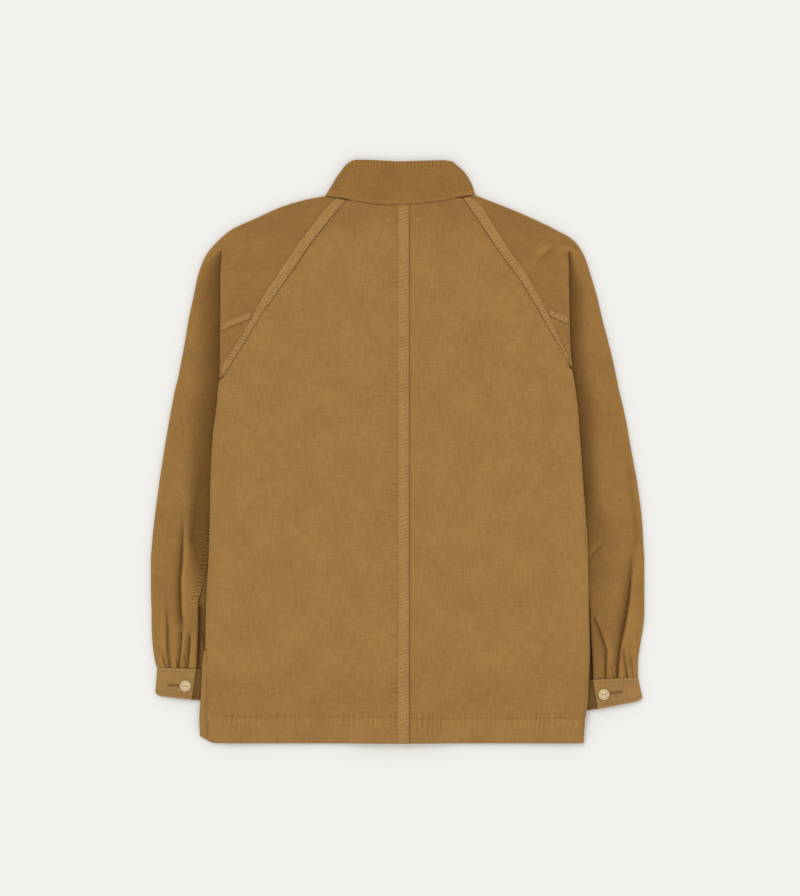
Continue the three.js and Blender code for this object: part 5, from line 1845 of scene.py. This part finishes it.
for name, side in SIDES:
    def cuff_relief(points, _, row_at, column_at):
        x, y = plan(points)
        above, below = band_distances(points)
        top = ramp(10.5, 8, column_at)
        grooves = bell(above - CUFF_STITCH, 1.1) + bell(below - CUFF_STITCH, 1.1)
        rungs = stripes(uneven(x, (0.9, 5, 0)), 6.5) * bell(above, 6)
        low = stripes(uneven(x, (0.7, 4, 0)), 6.9) * bell(below, 6)
        soft = 0.25 * waves(x, y, 13 + side, 45) * ramp(0, 1, row_at) * ramp(3, 2, row_at)
        return (0.28 * rungs + 0.22 * low - 0.28 * grooves + soft) * top

    def cuff_wear(points, *_):
        above, below = band_distances(points)
        return np.clip(0.35 * bell(above, 2.5) + 0.3 * bell(below, 2.5), 0, 1)

    def cuff_painted_shade(points, _normal, _row_at, column_at):
        # Painted shade in the stitched grooves and on the underlap hidden under the lap.
        above, below = band_distances(points)
        grooves = bell(above - CUFF_STITCH, 1.1) + bell(below - CUFF_STITCH, 1.1)
        return np.clip(0.2 * grooves + 0.8 * (column_at > UNDERLAP_START), 0, 1)

    made = cloth(
        f"{name}_cuff_cloth", mirrored(side, cuff_grid(name)), -side, relief=cuff_relief,
        marks=dict(wear_and_highlight=cuff_wear, painted_shade=cuff_painted_shade), outward=half_cuff, inward=half_cuff,
        step=CUFF_STEP,
    )
    finish_cloth(made, f"{name}_cuff", CUFF_CORD)


# %% [markdown]
# Rows of stitches hold every seam. One stitch is a small round-ended bead, shaped once and
# copied along each row, and a ray from above finds the cloth that it sits on.

# %% Stitch shape
def shaped(make, edit):
    """Add a primitive, shape it in edit mode and hand back its points and faces."""
    bpy.ops.object.select_all(action="DESELECT")
    make()
    obj = bpy.context.object
    bpy.ops.object.mode_set(mode="EDIT")
    bpy.ops.mesh.select_all(action="SELECT")
    edit(obj)
    bpy.ops.object.mode_set(mode="OBJECT")
    points = np.array([tuple(v.co) for v in obj.data.vertices])
    faces = [list(f.vertices) for f in obj.data.polygons]
    bpy.data.objects.remove(obj, do_unlink=True)
    return points, faces


STITCH_LONG, STITCH_WIDE, STITCH_HIGH = 1.0, 0.34, 0.28
stitch_points, stitch_faces = shaped(
    lambda: bpy.ops.mesh.primitive_uv_sphere_add(segments=6, ring_count=4, radius=0.5),
    lambda obj: bpy.ops.transform.resize(value=(STITCH_LONG, STITCH_WIDE, STITCH_HIGH)),
)
print("one stitch:", len(stitch_faces), "faces")

# %% Rows of stitches
visible = [o for o in bpy.data.objects if o.name.endswith("_cloth")]
bpy.context.view_layer.update()
all_points, all_faces = [], []
for obj in visible:
    first = len(all_points)
    all_points += [v.co[:] for v in obj.data.vertices]
    all_faces += [[first + n for n in f.vertices] for f in obj.data.polygons]
surface = BVHTree.FromPolygons(all_points, all_faces)
RAY_START_MM = 60
STITCH_SINK = 0.06
FINE = 2.0
CENTRE_ROWS = (2.4, 12.4)
RAGLAN_STITCH_ROWS = (2.2, 11.0)
SLIT_ROW = 7.5
VENT_ROW = 4.5
LOWEST_STITCH = 1.5


def surface_at(x, y):
    """Height and slope of the top of the cloth at a place, in millimetres."""
    above = Vector((x * MM, y * MM, RAY_START_MM * MM))
    hit, normal, _, _ = surface.ray_cast(above, Vector((0, 0, -1)))
    if hit is None:
        return None, None
    return hit.z / MM, normal if normal.z > 0 else -normal


def walk(line, pitch, start=0.0):
    """Places along a polyline at an even pitch, with the direction there."""
    left = start
    for (x1, y1), (x2, y2) in zip(line[:-1], line[1:]):
        long = math.hypot(x2 - x1, y2 - y1)
        while left < long:
            part = left / long
            yield lerp(x1, x2, part), lerp(y1, y2, part), (x2 - x1) / long, (y2 - y1) / long
            left += pitch
        left -= long


def stitches(name, lines, material, pitch=3.0, size=2.3, thick=1.0, across=False):
    """One piece of thread work: beads laid along each line, or across it."""
    points, faces = [], []
    for line in lines:
        for x, y, dx, dy in walk(line, pitch):
            z, up = surface_at(x, y)
            if z is None or z < LOWEST_STITCH:
                continue
            ahead = Vector((-dy, dx, 0) if across else (dx, dy, 0))
            ahead = (ahead - up * ahead.dot(up)).normalized()
            beside = up.cross(ahead)
            turn = np.array([ahead, beside, up])
            scaled = stitch_points * (size, size * thick, 1.2 * thick)
            placed = scaled @ turn + (x, y, z - STITCH_SINK)
            faces += [[len(points) + n for n in f] for f in stitch_faces]
            points += placed.tolist()
    obj = new_object(name, points, faces, material)
    obj.data.polygons.foreach_set("use_smooth", [True] * len(faces))
    declare(obj)
    print(f"{name}: {len(points) // len(stitch_points)} stitches")


# %% Seams of the body
def beside_line(line, distance):
    """A polyline moved sideways to its left."""
    moved = []
    for n, (x, y) in enumerate(line):
        before, after = line[max(0, n - 1)], line[min(len(line) - 1, n + 1)]
        dx, dy = after[0] - before[0], after[1] - before[1]
        long = math.hypot(dx, dy)
        moved.append((x - dy / long * distance, y + dx / long * distance))
    return moved


centre_rows = [
    [(CENTRE_SEAM_X - row, NECK_TOP_Y - 4), (CENTRE_SEAM_X - row, HEM_Y + 2)] for row in CENTRE_ROWS
]
stitches("centre_seam_stitches", centre_rows, THREAD)
for name, side in SIDES:
    line = RAGLAN_LINE[name]
    rows = [[(side * x, y) for x, y in beside_line(line, d)] for d in RAGLAN_STITCH_ROWS]
    far_row = [p for p in rows[1] if p[1] > ARMHOLE_END_Y + 45]
    stitches(f"{name}_raglan_stitches", [rows[0], far_row], THREAD)
    hem = [[(side * x, y) for x, y in HEM_STITCH[name]]]
    stitches(f"{name}_hem_stitches", hem, THREAD, size=FINE)

# %% Seams of the collar, cuffs and sleeves
collar_foot = [(x, float(back_neck(x)) + COLLAR_BASE_STITCH) for x in range(-92, 103, 6)]
collar_head = [(x, float(collar_top(x)) - COLLAR_TOP_STITCH) for x in range(-66, 73, 6)]
stitches("collar_stitches", [collar_foot, collar_head], THREAD, size=FINE)
for name, side in SIDES:
    top, bottom = CUFF_ROWS[name]
    rows = []
    for row, lift in ((top, -CUFF_STITCH - 2), (top, -CUFF_STITCH), (bottom, CUFF_STITCH)):
        ends = (row["lapX"] + 4, row["outX"] - 2)
        rows.append([(side * x, float(band_line(row, x)) + lift) for x in ends])
    rows.append([
        (side * (row["lapX"] + 4), row["lapY"] + lift)
        for row, lift in ((top, -CUFF_STITCH), (bottom, CUFF_STITCH))
    ])
    stitches(f"{name}_cuff_stitches", rows, THREAD, size=FINE)
    edge = [(side * (float(elbow_seam[name](y)) + SLIT_ROW), y) for y in range(-219, -299, -8)]
    stitches(f"{name}_slit_stitches", [edge], SHADE_THREAD, size=FINE)


vent = [(-(float(vent_edge(y)) - VENT_ROW), y) for y in range(-282, -397, -12)]
stitches("left_vent_stitches", [vent], THREAD, size=FINE)

# %% Buttonholes
HOLES = {"left": [(-322.5, -327.2), (-305.5, -327.6)], "right": [(297.5, -338.6), (315.5, -336.4)]}
for name, side in SIDES:
    start, end = HOLES[name]
    rows = [beside_line([start, end], d) for d in (-1.1, 1.1)]
    stitches(f"{name}_buttonhole", rows, HOLE_THREAD, pitch=0.9, size=2.1, thick=1.5, across=True)
TACKS = [(-12.6, 325.5), (28.4, 325.5)]
TACK_SIZE = (2.2, 1.8)
TACK_TURN = np.linspace(-2.4, 2.4, 9)
loops = [
    [(x + TACK_SIZE[0] * math.cos(a), y + TACK_SIZE[1] * math.sin(a)) for a in TACK_TURN]
    for x, y in TACKS
]
stitches("back_tacks", loops, THREAD, pitch=1.2, size=1.9, thick=1.6)

# %% [markdown]
# The buttons are turned discs with a raised rim, a shallow dish and two holes with thread
# through them. One is shaped from a cylinder and copied to each place at its own size.

# %% Button shape
BUTTON_SIDES = 40


def shape_button(obj):
    """Round the edge, then inset the face twice: a rim, then the dish."""
    mesh = bmesh.from_edit_mesh(obj.data)
    bpy.ops.mesh.select_all(action="DESELECT")
    bpy.ops.mesh.select_mode(type="FACE")
    mesh.faces.ensure_lookup_table()
    for face in mesh.faces:
        face.select_set(face.normal.z > 0.9)
    bmesh.update_edit_mesh(obj.data)
    bpy.ops.mesh.inset(thickness=0.07, depth=0.035)
    bpy.ops.mesh.inset(thickness=0.14)
    bpy.ops.mesh.inset(thickness=0.06, depth=-0.12)
    bpy.ops.mesh.inset(thickness=0.35)
    bpy.ops.transform.translate(value=(0, 0, 0.03))


BUTTON_DEPTH = 0.3
button_points, button_faces = shaped(
    lambda: bpy.ops.mesh.primitive_cylinder_add(vertices=BUTTON_SIDES, radius=1.0, depth=BUTTON_DEPTH),
    shape_button,
)
levels = button_points[:, 2]
button_points[:, 2] = np.interp(levels, [levels.min(), levels.max()], [0, 1])
HOLE_PLACE, HOLE_RADIUS = 0.26, 0.13
THREAD_APART = 0.25
SHADE_RING_RADIUS = (0.71, 0.8)
DISH_LEVEL = 0.66


def make_button(node, face_up, turn):
    """A button in the box of its solid, with its holes cut."""
    low, high = (np.array(c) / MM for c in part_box(node))
    centre, radius = (low + high) / 2, (high[0] - low[0]) / 2
    thick = high[2] - low[2]
    place = button_points * (radius, radius, thick)
    if not face_up:
        place = place * (1, -1, -1) + (0, 0, thick)
    place = place + (centre[0], centre[1], low[2])
    obj = new_object(f"{node}_turned", place, button_faces, BUTTON, BUTTON_GROOVE_SHADE)
    # Painted shade: the sloping faces of the dish wall get the darker material.
    for face in obj.data.polygons:
        off = math.hypot(face.center.x / MM - centre[0], face.center.y / MM - centre[1]) / radius
        face.material_index = int(SHADE_RING_RADIUS[0] < off < SHADE_RING_RADIUS[1] and abs(face.normal.z) < 0.95)
    across = np.array([math.cos(turn), math.sin(turn)]) * radius * HOLE_PLACE
    for sign in (-1, 1):
        bpy.ops.object.select_all(action="DESELECT")
        bpy.ops.mesh.primitive_cylinder_add(
            vertices=16, radius=radius * HOLE_RADIUS * MM, depth=3 * thick * MM,
            location=(*(centre[:2] + sign * across) * MM, centre[2] * MM),
        )
        drill = bpy.context.object
        cut = obj.modifiers.new("hole", "BOOLEAN")
        cut.operation, cut.solver, cut.object = "DIFFERENCE", "EXACT", drill
        bpy.context.view_layer.objects.active = obj
        bpy.ops.object.modifier_apply(modifier=cut.name)
        bpy.data.objects.remove(drill, do_unlink=True)
    bpy.ops.object.select_all(action="DESELECT")
    obj.select_set(True)
    bpy.context.view_layer.objects.active = obj
    bpy.ops.object.shade_smooth_by_angle(angle=math.radians(35))
    declare(obj, node)
    return centre, radius, thick


cuff_turn = {"left": math.radians(-8), "right": math.radians(12)}
for name, side in SIDES:
    centre, radius, thick = make_button(f"{name}_cuff_button", True, cuff_turn[name])
    dish = centre[2] + (DISH_LEVEL - 0.5) * thick
    angle = cuff_turn[name]
    turn = np.array([
        [math.cos(angle), math.sin(angle), 0], [-math.sin(angle), math.cos(angle), 0], [0, 0, 1],
    ])
    apart = HOLE_PLACE * radius
    # The dark beads in the holes are thread with painted shade; tan thread bars run between them.
    for part, material, beads in (
        ("hole", BUTTON_HOLE_THREAD_AND_SHADE, [(x, 0, 2.4, 6.6, 3.2) for x in (-apart, apart)]),
        ("thread", THREAD, [(0, y, 2 * apart, 1.1, 2.4) for y in (-THREAD_APART, THREAD_APART)]),
    ):
        points, faces = [], []
        for x, y, long, wide, high in beads:
            placed = (stitch_points * (long, wide, high) + (x, y, 0)) @ turn
            placed += (centre[0], centre[1], dish)
            faces += [[len(points) + n for n in f] for f in stitch_faces]
            points += placed.tolist()
        declare(new_object(f"{name}_button_{part}", points, faces, material))
FRONT_BUTTON_COUNT = 6
for n in range(FRONT_BUTTON_COUNT):
    make_button(f"front_button_{n + 1}", False, math.radians(90))
print("buttons:", 2 + FRONT_BUTTON_COUNT)

# %% [markdown]
# A white floor and soft daylight from all round, a little stronger from the collar's side.

# %% Floor and light
FLOOR_SIZE, FLOOR_DROP = 8.0, 0.0002
DAYLIGHT, SUN = 0.87, 0.5
bpy.ops.object.select_all(action="DESELECT")
bpy.ops.mesh.primitive_plane_add(size=FLOOR_SIZE, location=(0, 0, -FLOOR_DROP))
floor = bpy.context.object
floor.name = "floor"
floor.data.materials.append(plain("floor_white", (0.9, 0.89, 0.86), 1.0, Specular_IOR_Level=0))

world = bpy.data.worlds.new("daylight")
world.use_nodes = True
set_inputs(world.node_tree.nodes["Background"], dict(Color=(1, 1, 1, 1), Strength=DAYLIGHT))
bpy.context.scene.world = world

lamp_data = bpy.data.lights.new("window", "SUN")
lamp_data.energy = SUN
lamp_data.angle = math.radians(22)
lamp = bpy.data.objects.new("window", lamp_data)
lamp.rotation_euler = (math.radians(-32), math.radians(-24), 0)
bpy.context.scene.collection.objects.link(lamp)
bpy.context.scene.view_settings.view_transform = "Standard"
